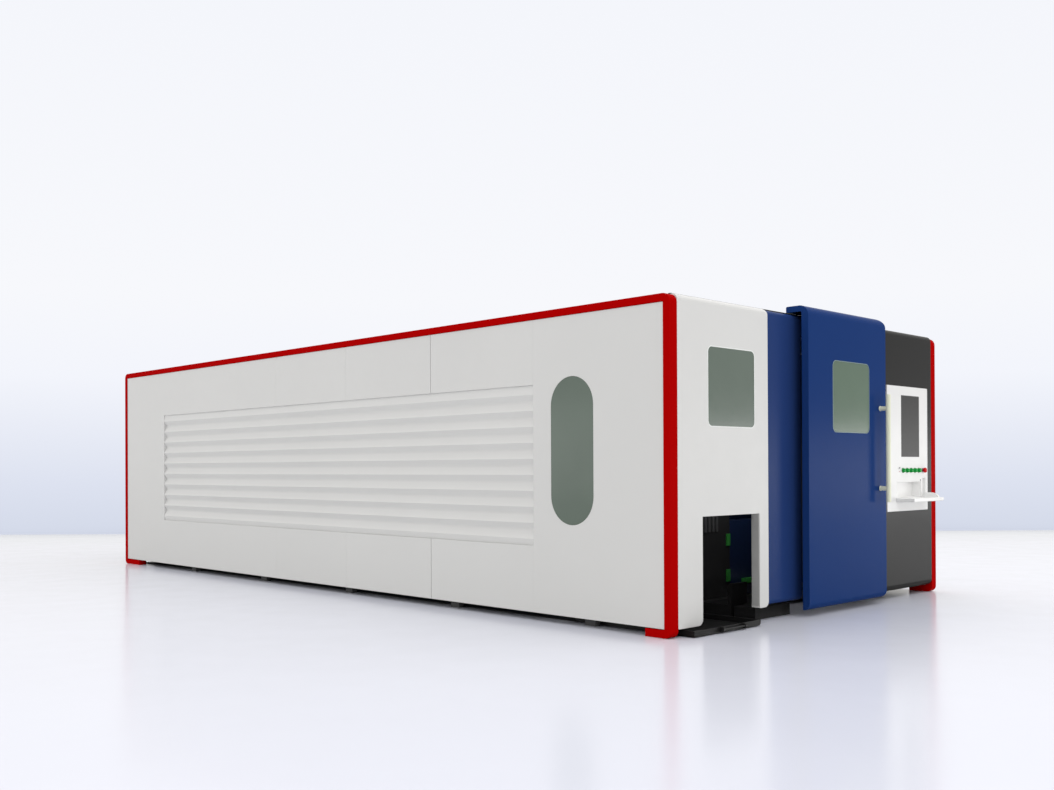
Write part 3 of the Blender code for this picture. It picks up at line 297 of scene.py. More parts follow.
def prism(axis, outline, a0, a1, holes=()):
    """Flat outline swept along an axis: (y, z) for X, (x, z) for Y, (x, y) for Z."""
    cu = bpy.data.curves.new("outline", 'CURVE')
    cu.dimensions = '2D'
    cu.fill_mode = 'BOTH'
    cu.extrude = abs(a1 - a0) / 2
    for loop in (outline, *holes):
        sp = cu.splines.new('POLY')
        sp.points.add(len(loop) - 1)
        for p, (u, v) in zip(sp.points, loop):
            p.co = (u, v, 0, 1)
        sp.use_cyclic_u = True
    ob = bpy.data.objects.new("outline", cu)
    bpy.context.scene.collection.objects.link(ob)
    mid = (a0 + a1) / 2
    place = {'X': (mid, 0, 0), 'Y': (0, mid, 0), 'Z': (0, 0, mid)}[axis]
    mat = Matrix.Translation(at(*place)) @ TURN[axis]
    me = bpy.data.meshes.new_from_object(ob.evaluated_get(bpy.context.evaluated_depsgraph_get()))
    bm = bmesh.new()
    bm.from_mesh(me)
    bmesh.ops.transform(bm, matrix=mat, verts=bm.verts)
    bpy.data.objects.remove(ob, do_unlink=True)
    bpy.data.meshes.remove(me)
    bpy.data.curves.remove(cu)
    return tidy(bm)


def rod(axis, c, r, a0, a1, n=32):
    bm = bmesh.new()
    bmesh.ops.create_cone(bm, cap_ends=True, cap_tris=False, segments=n, radius1=r, radius2=r, depth=abs(a1 - a0))
    mid = (a0 + a1) / 2
    place = {'X': (mid, c[0], c[1]), 'Y': (c[0], mid, c[1]), 'Z': (c[0], c[1], mid)}[axis]
    bmesh.ops.transform(bm, matrix=Matrix.Translation(at(*place)) @ TURN[axis], verts=bm.verts)
    bmesh.ops.recalc_face_normals(bm, faces=bm.faces)
    return bm


def turned(profile, origin, direction, n=40):
    """(radius, height) points spun about a direction through origin."""
    bm = bmesh.new()
    rings = []
    for r, h in profile:
        if r < 1e-7:
            rings.append([bm.verts.new((0, 0, h))])
        else:
            rings.append([bm.verts.new((r * math.cos(2 * math.pi * i / n), r * math.sin(2 * math.pi * i / n), h)) for i in range(n)])
    for a, b in zip(rings[:-1], rings[1:]):
        for i in range(n):
            j = (i + 1) % n
            if len(a) == 1 and len(b) == 1:
                continue
            if len(a) == 1:
                bm.faces.new((a[0], b[i], b[j]))
            elif len(b) == 1:
                bm.faces.new((a[i], a[j], b[0]))
            else:
                bm.faces.new((a[i], a[j], b[j], b[i]))
    for ring, flip in ((rings[0], True), (rings[-1], False)):
        if len(ring) > 1:
            bm.faces.new(ring[::-1] if flip else ring)
    m = Matrix.Translation(at(*origin)) @ Vector(direction).to_track_quat('Z', 'Y').to_matrix().to_4x4()
    bmesh.ops.transform(bm, matrix=m, verts=bm.verts)
    bmesh.ops.recalc_face_normals(bm, faces=bm.faces)
    return bm


def tube(points, r, n=12, closed=False):
    """Round bar along a smooth path of (x, y, z) points."""
    cu = bpy.data.curves.new("path", 'CURVE')
    cu.dimensions = '3D'
    cu.bevel_depth = r
    cu.bevel_resolution = max(1, n // 4 - 1)
    cu.use_fill_caps = True
    cu.resolution_u = 8
    sp = cu.splines.new('BEZIER')
    sp.bezier_points.add(len(points) - 1)
    for p, q in zip(sp.bezier_points, points):
        p.co = at(*q)
        p.handle_left_type = p.handle_right_type = 'AUTO'
    sp.use_cyclic_u = closed
    ob = bpy.data.objects.new("path", cu)
    bpy.context.scene.collection.objects.link(ob)
    me = bpy.data.meshes.new_from_object(ob.evaluated_get(bpy.context.evaluated_depsgraph_get()))
    bm = bmesh.new()
    bm.from_mesh(me)
    bpy.data.objects.remove(ob, do_unlink=True)
    bpy.data.meshes.remove(me)
    bpy.data.curves.remove(cu)
    bmesh.ops.remove_doubles(bm, verts=bm.verts, dist=0.00001)
    bmesh.ops.recalc_face_normals(bm, faces=bm.faces)
    return bm


def join(*parts):
    out = bmesh.new()
    for p in parts:
        me = bpy.data.meshes.new("join")
        p.to_mesh(me)
        out.from_mesh(me)
        bpy.data.meshes.remove(me)
        p.free()
    return out


def copy_of(bm):
    return bm.copy()


def boolean(bm, other, op='DIFFERENCE'):
    obs = []
    for b in (bm, other):
        me = bpy.data.meshes.new("work")
        b.to_mesh(me)
        b.free()
        ob = bpy.data.objects.new("work", me)
        bpy.context.scene.collection.objects.link(ob)
        obs.append(ob)
    md = obs[0].modifiers.new("cut", 'BOOLEAN')
    md.operation = op
    md.solver = 'EXACT'
    md.object = obs[1]
    me = bpy.data.meshes.new_from_object(obs[0].evaluated_get(bpy.context.evaluated_depsgraph_get()))
    out = bmesh.new()
    out.from_mesh(me)
    bpy.data.meshes.remove(me)
    for ob in obs:
        me = ob.data
        bpy.data.objects.remove(ob, do_unlink=True)
        bpy.data.meshes.remove(me)
    return tidy(out)


def soften(bm, width, seg=3, angle=25.0, test=None):
    """Rounds the sharp edges that pass the test."""
    bm.normal_update()
    lim = math.radians(angle)
    es = [e for e in bm.edges if len(e.link_faces) == 2 and e.calc_face_angle(0.0) > lim and (test is None or test(e))]
    if es:
        bmesh.ops.bevel(bm, geom=es, offset=width, offset_type='OFFSET', segments=seg, profile=0.5,
                        affect='EDGES', clamp_overlap=True)
    return bm


def on(axis, value, tol=0.0004):
    i = 'XYZ'.index(axis)
    w = value + (XO, YO, 0.0)[i]
    return lambda e: all(abs(v.co[i] - w) < tol for v in e.verts)


def off(axis, value, tol=0.0004):
    i = 'XYZ'.index(axis)
    w = value + (XO, YO, 0.0)[i]
    return lambda e: not all(abs(v.co[i] - w) < tol for v in e.verts)


def box(x0, x1, y0, y1, z0, z1, r=0.002, seg=2):
    bm = bm_box(x0, x1, y0, y1, z0, z1)
    if r:
        soften(bm, min(r, 0.45 * min(x1 - x0, y1 - y0, z1 - z0)), seg)
    return bm


def piece(name, bm, mat, body="root", nodes=(), angle=32.0, weighted=True):
    me = bpy.data.meshes.new(name)
    bm.normal_update()
    bm.to_mesh(me)
    bm.free()
    ob = bpy.data.objects.new(name, me)
    bpy.context.scene.collection.objects.link(ob)
    me.materials.append(mat)
    me.shade_smooth()
    me.set_sharp_from_angle(angle=math.radians(angle))
    if weighted:
        w = ob.modifiers.new("face_normals", 'WEIGHTED_NORMAL')
        w.keep_sharp = True
        w.weight = 80
    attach(ob, body)
    if nodes:
        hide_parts(*nodes)
    return ob


BODY_OF = {n: b for b, ns in frame["record"]["behaviour"]["bodies"].items() for n in ns}


def refine(node, mat, width=0.002, seg=2, angle=30.0, name=None):
    """The CAD piece with its edges softened and its finish on."""
    bm = bmesh.new()
    bm.from_mesh(frame["nodes"][node].data)
    bmesh.ops.remove_doubles(bm, verts=bm.verts, dist=0.00003)
    bmesh.ops.dissolve_limit(bm, angle_limit=0.004, verts=bm.verts, edges=bm.edges, use_dissolve_boundaries=False)
    if width:
        soften(bm, width, seg, angle)
    return piece(name or node + "_finished", bm, mat, BODY_OF[node], (node,))


def inset(points, d):
    out = []
    n = len(points)
    for i, (u, v) in enumerate(points):
        a = Vector((u - points[i - 1][0], v - points[i - 1][1])).normalized()
        b = Vector((points[(i + 1) % n][0] - u, points[(i + 1) % n][1] - v)).normalized()
        out.append((u + d * (-a.y - b.y), v + d * (a.x + b.x)))
    return out


# --------------------------------------------------------------------- camera
YAW, PITCH, ROLL = 2.37028, 0.00397, -0.00431
fwd = Vector((math.cos(YAW) * math.cos(PITCH), math.sin(YAW) * math.cos(PITCH), math.sin(PITCH)))
right = Vector((math.sin(YAW), -math.cos(YAW), 0.0))
up = right.cross(fwd)
r2 = math.cos(ROLL) * right + math.sin(ROLL) * up
u2 = -math.sin(ROLL) * right + math.cos(ROLL) * up
cam_data = bpy.data.cameras.new("view")
cam_data.sensor_width = 36.0
cam_data.lens = 36.80
cam_data.shift_y = 68.456 / 1054
cam_data.clip_end = 300.0
camera = bpy.data.objects.new("view", cam_data)
bpy.context.scene.collection.objects.link(camera)
camera.matrix_world = Matrix(((r2.x, u2.x, -fwd.x, 8.541), (r2.y, u2.y, -fwd.y, -7.581), (r2.z, u2.z, -fwd.z, 1.140), (0, 0, 0, 1)))
bpy.context.scene.camera = camera


# ------------------------------------------------------------------ red bands
BAND_FACE, BAND_DEPTH = 0.055, 0.085
FOOT_NEAR, FOOT_FAR = -0.218, -8.002
band = corner([
    (FOOT_NEAR, 0.0), (0.0, 0.0, 0.052), (0.0, H, 0.060), (-L, H, 0.060), (-L, 0.0, 0.052), (FOOT_FAR, 0.0),
    (FOOT_FAR, BAND_FACE), (-L + BAND_FACE, BAND_FACE, 0.006), (-L + BAND_FACE, H - BAND_FACE, 0.004),
    (-BAND_FACE, H - BAND_FACE, 0.004), (-BAND_FACE, BAND_FACE, 0.006), (FOOT_NEAR, BAND_FACE)], 14)
for side, y0, y1, y_out in (("left", 0.0, BAND_DEPTH, 0.0), ("right", W - BAND_DEPTH, W, W)):
    bm = prism('Y', band, y0, y1)
    soften(bm, 0.0045, 3, 50, on('Y', y_out))
    soften(bm, 0.0012, 2, 50, on('Y', y1 if side == "left" else y0))
    piece("red_band_%s_painted" % side, bm, RED, "root", ("red_band_" + side,))

# ------------------------------------------------------------ long side covers
YL, YR = 0.0075, W - 0.0075
LOW, TOP = 0.060, H - 0.057
X_REAR, X_FRONT = -L + 0.057, -0.057
SEAM_A, SEAM_B = -2.504, -1.294
G = 0.0015
LX0, LZ0, LZ1 = -7.350, 0.557, 1.758


def cover_y(name, outline, y_face, inward, mat, nodes=(), holes=(), body="root", depth=0.038, r=0.0032):
    """Folded sheet cover of a long side, hollow from behind."""
    y_back = y_face + inward * depth
    bm = prism('Y', outline, min(y_face, y_back), max(y_face, y_back), holes)
    ring = set()
    if holes:
        for h in holes:
            for u, v in h:
                ring.add((round(u + XO, 4), round(v, 4)))
    def hole_edge(e):
        return all((round(v.co.x, 4), round(v.co.z, 4)) in ring for v in e.verts)
    front = on('Y', y_face)
    soften(bm, r, 3, 50, lambda e: front(e) and not (ring and hole_edge(e)))
    if ring:
        soften(bm, 0.0012, 2, 50, lambda e: front(e) and hole_edge(e))
    y_skin, y_open = y_face + inward * SKIN, y_back + inward * 0.01
    bm = boolean(bm, prism('Y', inset(outline, SKIN), min(y_skin, y_open), max(y_skin, y_open)))
    return piece(name, bm, mat, body, nodes)


def rect(x0, x1, z0, z1):
    return [(x0, z0), (x1, z0), (x1, z1), (x0, z1)]


g1, g2 = -4.920, -3.720
h = 0.0005
GA = 0.0030
cover_y("side_cover_left_1", [(X_REAR, LOW), (g1 - h, LOW), (g1 - h, LZ0), (LX0, LZ0), (LX0, LZ1), (g1 - h, LZ1), (g1 - h, TOP), (X_REAR, TOP)],
        YL, 1, SIDE, ("side_panel_left_rear",), r=0.0014)
for i, (xa, xb) in enumerate(((g1 + h, g2 - h), (g2 + h, SEAM_A - GA))):
    cover_y("side_cover_left_%d_upper" % (i + 2), rect(xa, xb, LZ1, TOP), YL, 1, SIDE, ("side_panel_left_rear",), r=0.0009)
    cover_y("side_cover_left_%d_lower" % (i + 2), rect(xa, xb, LOW, LZ0), YL, 1, SIDE, ("side_panel_left_rear",), r=0.0009)
cover_y("side_cover_left_upper", rect(SEAM_A + GA, SEAM_B - 0.0002, LZ1, TOP), YL, 1, SIDE, ("side_panel_left_upper",), r=0.0004)
cover_y("side_cover_left_lower", rect(SEAM_A + GA, SEAM_B - 0.0002, LOW, LZ0), YL, 1, SIDE, ("side_panel_left_lower",), r=0.0004)
OVAL_X, OVAL_Z, OVAL_R, OVAL_H = -0.898, 1.262, 0.210, 1.077
cover_y("side_cover_left_front", rect(SEAM_B + 0.0002, X_FRONT, LOW, TOP), YL, 1, SIDE, ("side_panel_left_front",),
        holes=[stadium(OVAL_X, OVAL_Z, OVAL_R, OVAL_H)], r=0.0004)
piece("seam_backing", join(box(SEAM_A - 0.012, SEAM_A + 0.012, YL + 0.0302, YL + 0.0332, LOW + 0.004, LZ0 - 0.004, 0.0008, 1),
                           box(SEAM_A - 0.012, SEAM_A + 0.012, YL + 0.0302, YL + 0.0332, LZ1 + 0.004, TOP - 0.004, 0.0008, 1)), RUBBER, "root")


def louvre_section(y_face, inward):
    lip, deep = y_face + inward * 0.0012, y_face + inward * 0.034
    top, low = LZ1 - 0.0006, LZ0 + 0.0006
    pts = [(y_face + inward * 0.012, top)]
    for k in range(10):
        z = 1.687 - 0.120 * k
        pts.append((lip, z, 0.0016))
        zz = max(z - 0.052, low)
        pts.append((deep, zz, 0.030 if k < 9 else 0.004) if zz > low + 0.004 else (y_face + inward * 0.014, low))
    back = [(p[0] + inward * 0.003, p[1]) for p in reversed(pts)]
    back[0] = (back[0][0], low)
    return corner(pts + back, 8)


for side, y_face, inward, x1 in (("left", YL, 1, -1.2955), ("right", YR, -1, -1.450)):
    piece("louvre_field_%s" % side, prism('X', louvre_section(y_face, inward), LX0 + 0.001, x1 - 0.001), LOUVRE,
          "root", ("louvre_" + side,), 40, False)


def pane_y(name, y_face, inward, make, node, mat=GLASS):
    a, b = y_face + inward * 0.0006, y_face + inward * 0.0070
    bm = prism('Y', make(-0.0006), min(a, b), max(a, b))
    soften(bm, 0.0008, 2, 50, on('Y', a))
    c, d = y_face + inward * (SKIN + 0.0003), y_face + inward * (SKIN + 0.0045)
    seal = prism('Y', make(0.012), min(c, d), max(c, d), [make(0.0002)])
    piece(name, bm, mat, BODY_OF[node], (node,))
    piece(name + "_seal", seal, RUBBER, BODY_OF[node])


def pane_x(name, x_face, y0, z0, node, mat=GLASS, w=0.566, hh=0.558, r=0.045):
    def loop(d):
        return round_rect(y0 - d, y0 + w + d, z0 - d, z0 + hh + d, r + d, 12)
    bm = prism('X', loop(-0.0006), x_face - 0.0070, x_face - 0.0006)
    soften(bm, 0.0008, 2, 50, on('X', x_face - 0.0006))
    seal = prism('X', loop(0.012), x_face - SKIN - 0.0045, x_face - SKIN - 0.0003, [loop(0.0002)])
    piece(name, bm, mat, BODY_OF[node], (node,))
    piece(name + "_seal", seal, RUBBER, BODY_OF[node])


pane_y("oval_glazing", YL, 1, lambda d: stadium(OVAL_X, OVAL_Z, OVAL_R + d, OVAL_H + 2 * d), "oval_window")

# hidden long side: wall, louvres and the two doors of the electrical cabinet
bm = prism('Y', rect(X_REAR, SEAM_B - G, LOW, TOP), YR - 0.038, YR, [rect(LX0, -1.450, LZ0, LZ1)])
soften(bm, 0.0018, 2, 50, on('Y', YR))
bm = boolean(bm, prism('Y', inset(rect(X_REAR, SEAM_B - G, LOW, TOP), SKIN), YR - 0.05, YR - SKIN,
                       [rect(LX0 - SKIN, -1.450 + SKIN, LZ0 - SKIN, LZ1 + SKIN)]))
piece("side_cover_right", bm, SIDE, "root", ("side_panel_right",))
SPLIT = -0.675
for name, xa, xb, body in (("cabinet_door_rear", SEAM_B + G, SPLIT - G, "rear_cabinet_door"), ("cabinet_door_front", SPLIT + G, X_FRONT, "front_cabinet_door")):
    cover_y(name + "_leaf", rect(xa, xb, LOW, TOP), YR, -1, SIDE, (name,), body=body, r=0.0025)

# ----------------------------------------------------------- end face covers
CASSETTE = 0.070


def round_cut(x_face, z_edge, r, y0, y1, top=True):
    s = 1 if top else -1
    arc = [(x_face - r + r * math.cos(math.pi / 2 * i / 16), z_edge - s * r + s * r * math.sin(math.pi / 2 * i / 16)) for i in range(17)]
    return prism('Y', [(x_face + 0.02, z_edge - s * r)] + arc + [(x_face - r, z_edge + s * 0.02), (x_face + 0.02, z_edge + s * 0.02)], y0, y1)


def cover_x(name, outer, inner, x_face, depth, mat, top, low, r_top, r_low, y0, y1, node, holes=(), r=0.006, hole_r=0.0012):
    bm = prism('X', outer, x_face - depth, x_face)
    hollow = prism('X', inner, x_face - depth - 0.01, x_face - SKIN)
    if r_top:
        bm = boolean(bm, round_cut(x_face, top, r_top, y0 - 0.05, y1 + 0.05))
        hollow = boolean(hollow, round_cut(x_face - SKIN, top - SKIN, r_top - SKIN, y0 - 0.05, y1 + 0.05))
    if r_low:
        bm = boolean(bm, round_cut(x_face, low, r_low, y0 - 0.05, y1 + 0.05, False))
        hollow = boolean(hollow, round_cut(x_face - SKIN, low + SKIN, r_low - SKIN, y0 - 0.05, y1 + 0.05, False))
    behind = x_face - depth + XO + 0.004
    soften(bm, r, 4, 30, lambda e: min(v.co.x for v in e.verts) > behind)
    bm = boolean(bm, hollow)
    for hole in holes:
        bm = boolean(bm, prism('X', hole, x_face - 0.2, x_face + 0.05))
    return piece(name, bm, mat, BODY_OF[node], (node,))


WY0, WY1, WTOP = BAND_DEPTH + 0.0005, 1.160, 2.305


def white_loop(d):
    r = 0.045
    return corner([(WY0 + d, 0.057 + d, 0.012), (0.358 - d, 0.057 + d, r), (0.358 - d, 0.800 + d), (1.045 + d, 0.800 + d),
                   (1.045 + d, 0.110 + d, 0.008), (WY1 - d, 0.110 + d, r - d), (WY1 - d, WTOP - d, 0.050 - d), (WY0 + d, WTOP - d, 0.014)], 12)


cover_x("end_cover_white", white_loop(0.0), white_loop(SKIN), 0.0, CASSETTE, WHITE, WTOP, 0.057, 0.045, 0.0, WY0, WY1,
        "end_panel_white", [round_rect(0.4235, 0.9895, 1.420, 1.978, 0.045, 12)], r=0.0065)
# A thin grey strip over the notch's white return: painted shade.
piece("notch_return_painted_shade", box(-0.0690, -0.0075, 1.0430, 1.0447, 0.1240, 0.7990, 0.0006, 2), NOTCH_RETURN_SHADE, "root")
pane_x("end_glazing", 0.0, 0.4235, 1.420, "end_window")


def highlight_rim_x(name, x_face, y0, z0, mat, body, wide=0.0075, w=0.566, hh=0.558, r=0.045):
    """Narrow bead round a pane, a little proud of the cover; its colour is a painted highlight of the window's cut
    edge.
    """
    def loop(d):
        return round_rect(y0 - d, y0 + w + d, z0 - d, z0 + hh + d, r + d, 12)
    bm = prism('X', loop(0.0030), x_face - 0.0004, x_face + 0.0014, [loop(0.0030 - wide)])
    soften(bm, 0.0006, 2, 50, on('X', x_face + 0.0014))
    piece(name, bm, mat, body)


# End window rim in light white: painted highlight.
highlight_rim_x("end_window_highlight_rim", 0.0, 0.4235, 1.420, RIM_HIGHLIGHT, "root")

PY0, PY1, PZ0, PZ1 = 1.1615, 2.716, 0.115, 2.303


def portal_loop(d):
    return corner([(PY0 + d, PZ0 + d), (1.660 - d, PZ0 + d), (1.660 - d, 2.150 + d), (2.640 + d, 2.150 + d),
                   (2.640 + d, PZ0 + d), (PY1 - d, PZ0 + d), (PY1 - d, PZ1 - d), (PY0 + d, PZ1 - d)])


# The frame's lighter blue is a painted highlight.
cover_x("door_portal_cover", portal_loop(0.0), portal_loop(SKIN), -0.030, 0.040, BLUE_FRAME_LIT, PZ1, PZ0, 0.036, 0.036, PY0, PY1,
        "door_portal", r=0.003)

CY0, CY1, CZ0, CZ1 = 2.720, W - BAND_DEPTH - 0.0005, 0.064, 2.312


def cab_loop(d):
    return corner([(CY0 + d, CZ0 + d, 0.006), (CY1 - d, CZ0 + d, 0.006), (CY1 - d, CZ1 - d, 0.006), (CY0 + d, CZ1 - d, 0.006)], 4)


cover_x("cabinet_front_cover", cab_loop(0.0), cab_loop(SKIN), 0.0, CASSETTE, GREY, CZ1, CZ0, 0.048, 0.055, CY0, CY1,
        "cabinet_front", [[(3.000, 0.800), (3.670, 0.800), (3.670, 1.800), (3.000, 1.800)]], r=0.004)

# ---------------------------------------------------------------- sliding door
DY0, DY1, DZ0, DZ1, DX0, DX1 = 1.557, 2.757, 0.050, 2.366, 0.042, 0.100
HX, HZ = -0.0925, 2.320
section = corner([(DX0, DZ0), (DX1, DZ0, 0.050), (DX1, DZ1, 0.078), (HX, DZ1, 0.010), (HX, HZ), (DX0, HZ, 0.010)], 16)
space = corner([(DX0 - 0.012, DZ0 + SKIN), (DX1 - SKIN, DZ0 + SKIN, 0.047), (DX1 - SKIN, DZ1 - SKIN, 0.075),
                (HX + SKIN, DZ1 - SKIN, 0.007), (HX + SKIN, HZ - 0.008), (DX0 - 0.012, HZ - 0.008)], 16)


def quarter(y_edge, z_edge, r, top):
    s = 1 if top else -1
    arc = [(y_edge - r + r * math.cos(math.pi / 2 * i / 16), z_edge - s * r + s * r * math.sin(math.pi / 2 * i / 16)) for i in range(17)]
    return prism('X', [(y_edge + 0.02, z_edge - s * r)] + arc + [(y_edge - r, z_edge + s * 0.02), (y_edge + 0.02, z_edge + s * 0.02)], -0.20, 0.20)


door = prism('Y', section, DY0, DY1)
door = boolean(door, quarter(DY1, DZ1, 0.080, True))
door = boolean(door, quarter(DY1, DZ0, 0.060, False))
soften(door, 0.0065, 4, 30, lambda e: not all(v.co.x < DX0 + XO + 0.002 and v.co.z < HZ + 0.001 for v in e.verts))
void = prism('Y', space, DY0 + SKIN, DY1 - SKIN)
void = boolean(void, quarter(DY1 - SKIN, DZ1 - SKIN, 0.077, True))
void = boolean(void, quarter(DY1 - SKIN, DZ0 + SKIN, 0.057, False))
door = boolean(door, void)
WIN_Y, WIN_Z = 1.911, 1.409
door = boolean(door, prism('X', round_rect(WIN_Y, WIN_Y + 0.566, WIN_Z, WIN_Z + 0.558, 0.045, 12), 0.05, 0.15))
piece("sliding_door_shell", door, BLUE, "door", ("sliding_door",))
pane_x("door_glazing", DX1, WIN_Y, WIN_Z, "door_window", GLASS_DOOR)
# Door window rim in light grey-green: painted highlight.
highlight_rim_x("door_window_highlight_rim", DX1, WIN_Y, WIN_Z, RIM_HIGHLIGHT_DOOR, "door", 0.0055)

bar = rod('Z', (0.172, 2.660), 0.020, 0.845, 1.730, 48)
soften(bar, 0.0030, 3, 50)
piece("door_handle_bar", bar, CREAM, "door", ("door_handle",))
for k, z in enumerate((0.957, 1.616)):
    piece("handle_post_%d" % (k + 1), turned([(0.0, 0.1003), (0.021, 0.1003), (0.021, 0.1030), (0.0185, 0.1050), (0.0185, 0.1602), (0.0, 0.1602)],
                                             (0.0, 2.660, z), (1, 0, 0)), CREAM, "door")

# ----------------------------------------------------------- operator's panel
P_Y0, P_Y1, P_Z0, P_Z1, P_X = 2.950, 3.697, 0.750, 1.834, 0.012
NY0, NY1, NZ0, NZ1, NX = 3.120, 3.567, 0.870, 1.003, -0.070
SY0, SY1, SZ0, SZ1, SX = 3.594, 3.652, 0.870, 1.035, -0.036
SC = (3.200, 3.537, 1.220, 1.757)
pan = prism('X', round_rect(P_Y0, P_Y1, P_Z0, P_Z1, 0.006, 4), 0.0003, P_X)
soften(pan, 0.0024, 3, 50, on('X', P_X))
pan = boolean(pan, bm_box(NX - 0.004, 0.006, NY0 - 0.010, NY1 + 0.008, NZ0 - 0.010, NZ1 + 0.010), 'UNION')
pan = boolean(pan, bm_box(SX - 0.003, 0.006, SY0 - 0.006, SY1 + 0.005, SZ0 - 0.008, SZ1 + 0.006), 'UNION')
pan = boolean(pan, prism('X', round_rect(NY0, NY1, NZ0, NZ1, 0.004, 3), NX, 0.05))
pan = boolean(pan, prism('X', round_rect(SY0, SY1, SZ0, SZ1, 0.004, 3), SX, 0.05))
pan = boolean(pan, prism('X', round_rect(SC[0], SC[1], SC[2], SC[3], 0.003, 3), P_X - 0.006, 0.05))
BTN_Y, BTN_Z, BTN_R = (3.230, 3.3035, 3.377, 3.4505, 3.524), 1.103, 0.0175
STOP = (3.605, 1.103)
KEY = (3.160, 1.124)
drill = join(*([rod('X', (y, BTN_Z), BTN_R + 0.0004, -0.03, 0.05, 32) for y in BTN_Y]
               + [rod('X', STOP, 0.0114, -0.03, 0.05, 28), rod('X', KEY, 0.0064, -0.03, 0.05, 24)]))
pan = boolean(pan, drill)
piece("control_panel_plate", pan, PANEL, "root", ("control_panel",))
# Lining sheets in the lighter white: painted light over recess walls that would otherwise sit in shade.
lit_lining = prism('X', round_rect(NY0 + 0.0003, NY1 - 0.0003, NZ0 + 0.0003, NZ1 - 0.0003, 0.0037, 3), NX + 0.0003, 0.0105)
lit_lining = boolean(lit_lining, prism('X', round_rect(NY0 + 0.0016, NY1 - 0.0016, NZ0 + 0.0016, NZ1 - 0.0016, 0.0030, 3), NX + 0.0016, 0.05))
piece("niche_painted_light_lining", lit_lining, NICHE_WHITE_LIT, "root")
lit_lining = prism('X', round_rect(SY0 + 0.0002, SY1 - 0.0002, SZ0 + 0.0002, SZ1 - 0.0002, 0.0038, 3), SX + 0.0002, 0.0105)
lit_lining = boolean(lit_lining, prism('X', round_rect(SY0 + 0.0007, SY1 - 0.0007, SZ0 + 0.0007, SZ1 - 0.0007, 0.0034, 3), SX + 0.0007, 0.05))
piece("wing_slot_painted_light_lining", lit_lining, NICHE_WHITE_LIT, "root")

scr = prism('X', round_rect(SC[0] + 0.0006, SC[1] - 0.0006, SC[2] + 0.0006, SC[3] - 0.0006, 0.0026, 3), P_X - 0.0057, P_X - 0.0010)
soften(scr, 0.0008, 2, 50, on('X', P_X - 0.0010))
piece("display", scr, SCREEN, "root", ("control_screen",))
piece("display_frame", prism('X', round_rect(SC[0] + 0.0004, SC[1] - 0.0004, SC[2] + 0.0004, SC[3] - 0.0004, 0.0026, 3), P_X - 0.0030, P_X - 0.0006,
                             [round_rect(SC[0] + 0.0058, SC[1] - 0.0058, SC[2] + 0.0058, SC[3] - 0.0058, 0.002, 3)]), BEZEL)

for i, y in enumerate(BTN_Y):
    node = "start_button" if i == 0 else "push_button_%d" % (i + 1)
    body = "button_%d" % (i + 1)
    cap = turned([(0, -0.0040), (0.0205, -0.0040), (0.0205, -0.0002), (BTN_R - 0.0004, 0.0), (BTN_R - 0.0004, 0.0305), (0.0166, 0.0327), (0.0150, 0.0338),
                  (0.0128, 0.0340), (0.0116, 0.0334), (0.0, 0.0330)], (0.0, y, BTN_Z), (1, 0, 0), 40)
    piece(node + "_cap", cap, BTN_GREEN, body, (node,), 28)
    ring = turned([(BTN_R + 0.0003, 0.0121), (0.0220, 0.0121), (0.0220, 0.0150), (0.0205, 0.0170), (BTN_R + 0.0003, 0.0172)],
                  (0.0, y, BTN_Z), (1, 0, 0), 40)
    hole = rod('X', (y, BTN_Z), BTN_R + 0.0005, -0.01, 0.03, 40)
    piece("button_ring_%d" % (i + 1), boolean(ring, hole), BTN_BASE, "root")

es = turned([(0, -0.010), (0.0145, -0.010), (0.0145, -0.0003), (0.0108, -0.0003), (0.0108, 0.0240), (0.0196, 0.0240), (0.0214, 0.0256), (0.0225, 0.0290),
             (0.0225, 0.0335), (0.0217, 0.0385), (0.0197, 0.0420), (0.0160, 0.0443), (0.0100, 0.0453), (0, 0.0455)], (0.0, *STOP), (1, 0, 0), 48)
piece("emergency_stop_head", es, BTN_RED, "stop_button", ("emergency_stop",), 28)
ring = turned([(0.0, 0.0122), (0.0190, 0.0122), (0.0190, 0.0135), (0.0176, 0.0150), (0.0150, 0.0158), (0.0, 0.0158)], (0.0, *STOP), (1, 0, 0), 48)
piece("emergency_stop_ring", boolean(ring, rod('X', STOP, 0.0117, -0.01, 0.05, 40)), KEYBLACK, "root")

lock = turned([(0.0, 0.0121), (0.0090, 0.0121), (0.0090, 0.0140), (0.0080, 0.0152), (0.0, 0.0152)], (0.0, *KEY), (1, 0, 0), 32)
piece("key_switch_collar", boolean(lock, rod('X', KEY, 0.0066, -0.01, 0.05, 24)), RING, "root")
kb = turned([(0, -0.004), (0.0085, -0.004), (0.0085, -0.0003), (0.0060, -0.0003), (0.0060, 0.0195), (0.0052, 0.0205), (0, 0.0205)], (0.0, *KEY), (1, 0, 0), 28)
kb = boolean(kb, box(0.0150, 0.030, KEY[0] - 0.0012, KEY[0] + 0.0012, 1.1200, 1.1280, 0))
piece("key_switch_barrel", kb, KEYBLACK, "key", ("key_switch",))
piece("indicator_lamp", turned([(0.0, 0.0121), (0.0042, 0.0121), (0.0042, 0.0130), (0.0034, 0.0140), (0.0020, 0.0148), (0.0, 0.0150)], (0.0, 3.160, 1.092), (1, 0, 0), 28),
      LAMP_RED, "root")
piece("latch_stud", turned([(0.0, 0.01205), (0.0085, 0.01205), (0.0085, 0.01230), (0.0076, 0.01265), (0.0, 0.01275)], (0.0, 3.556, 1.0145), (1, 0, 0), 24), KEYBLACK, "root")

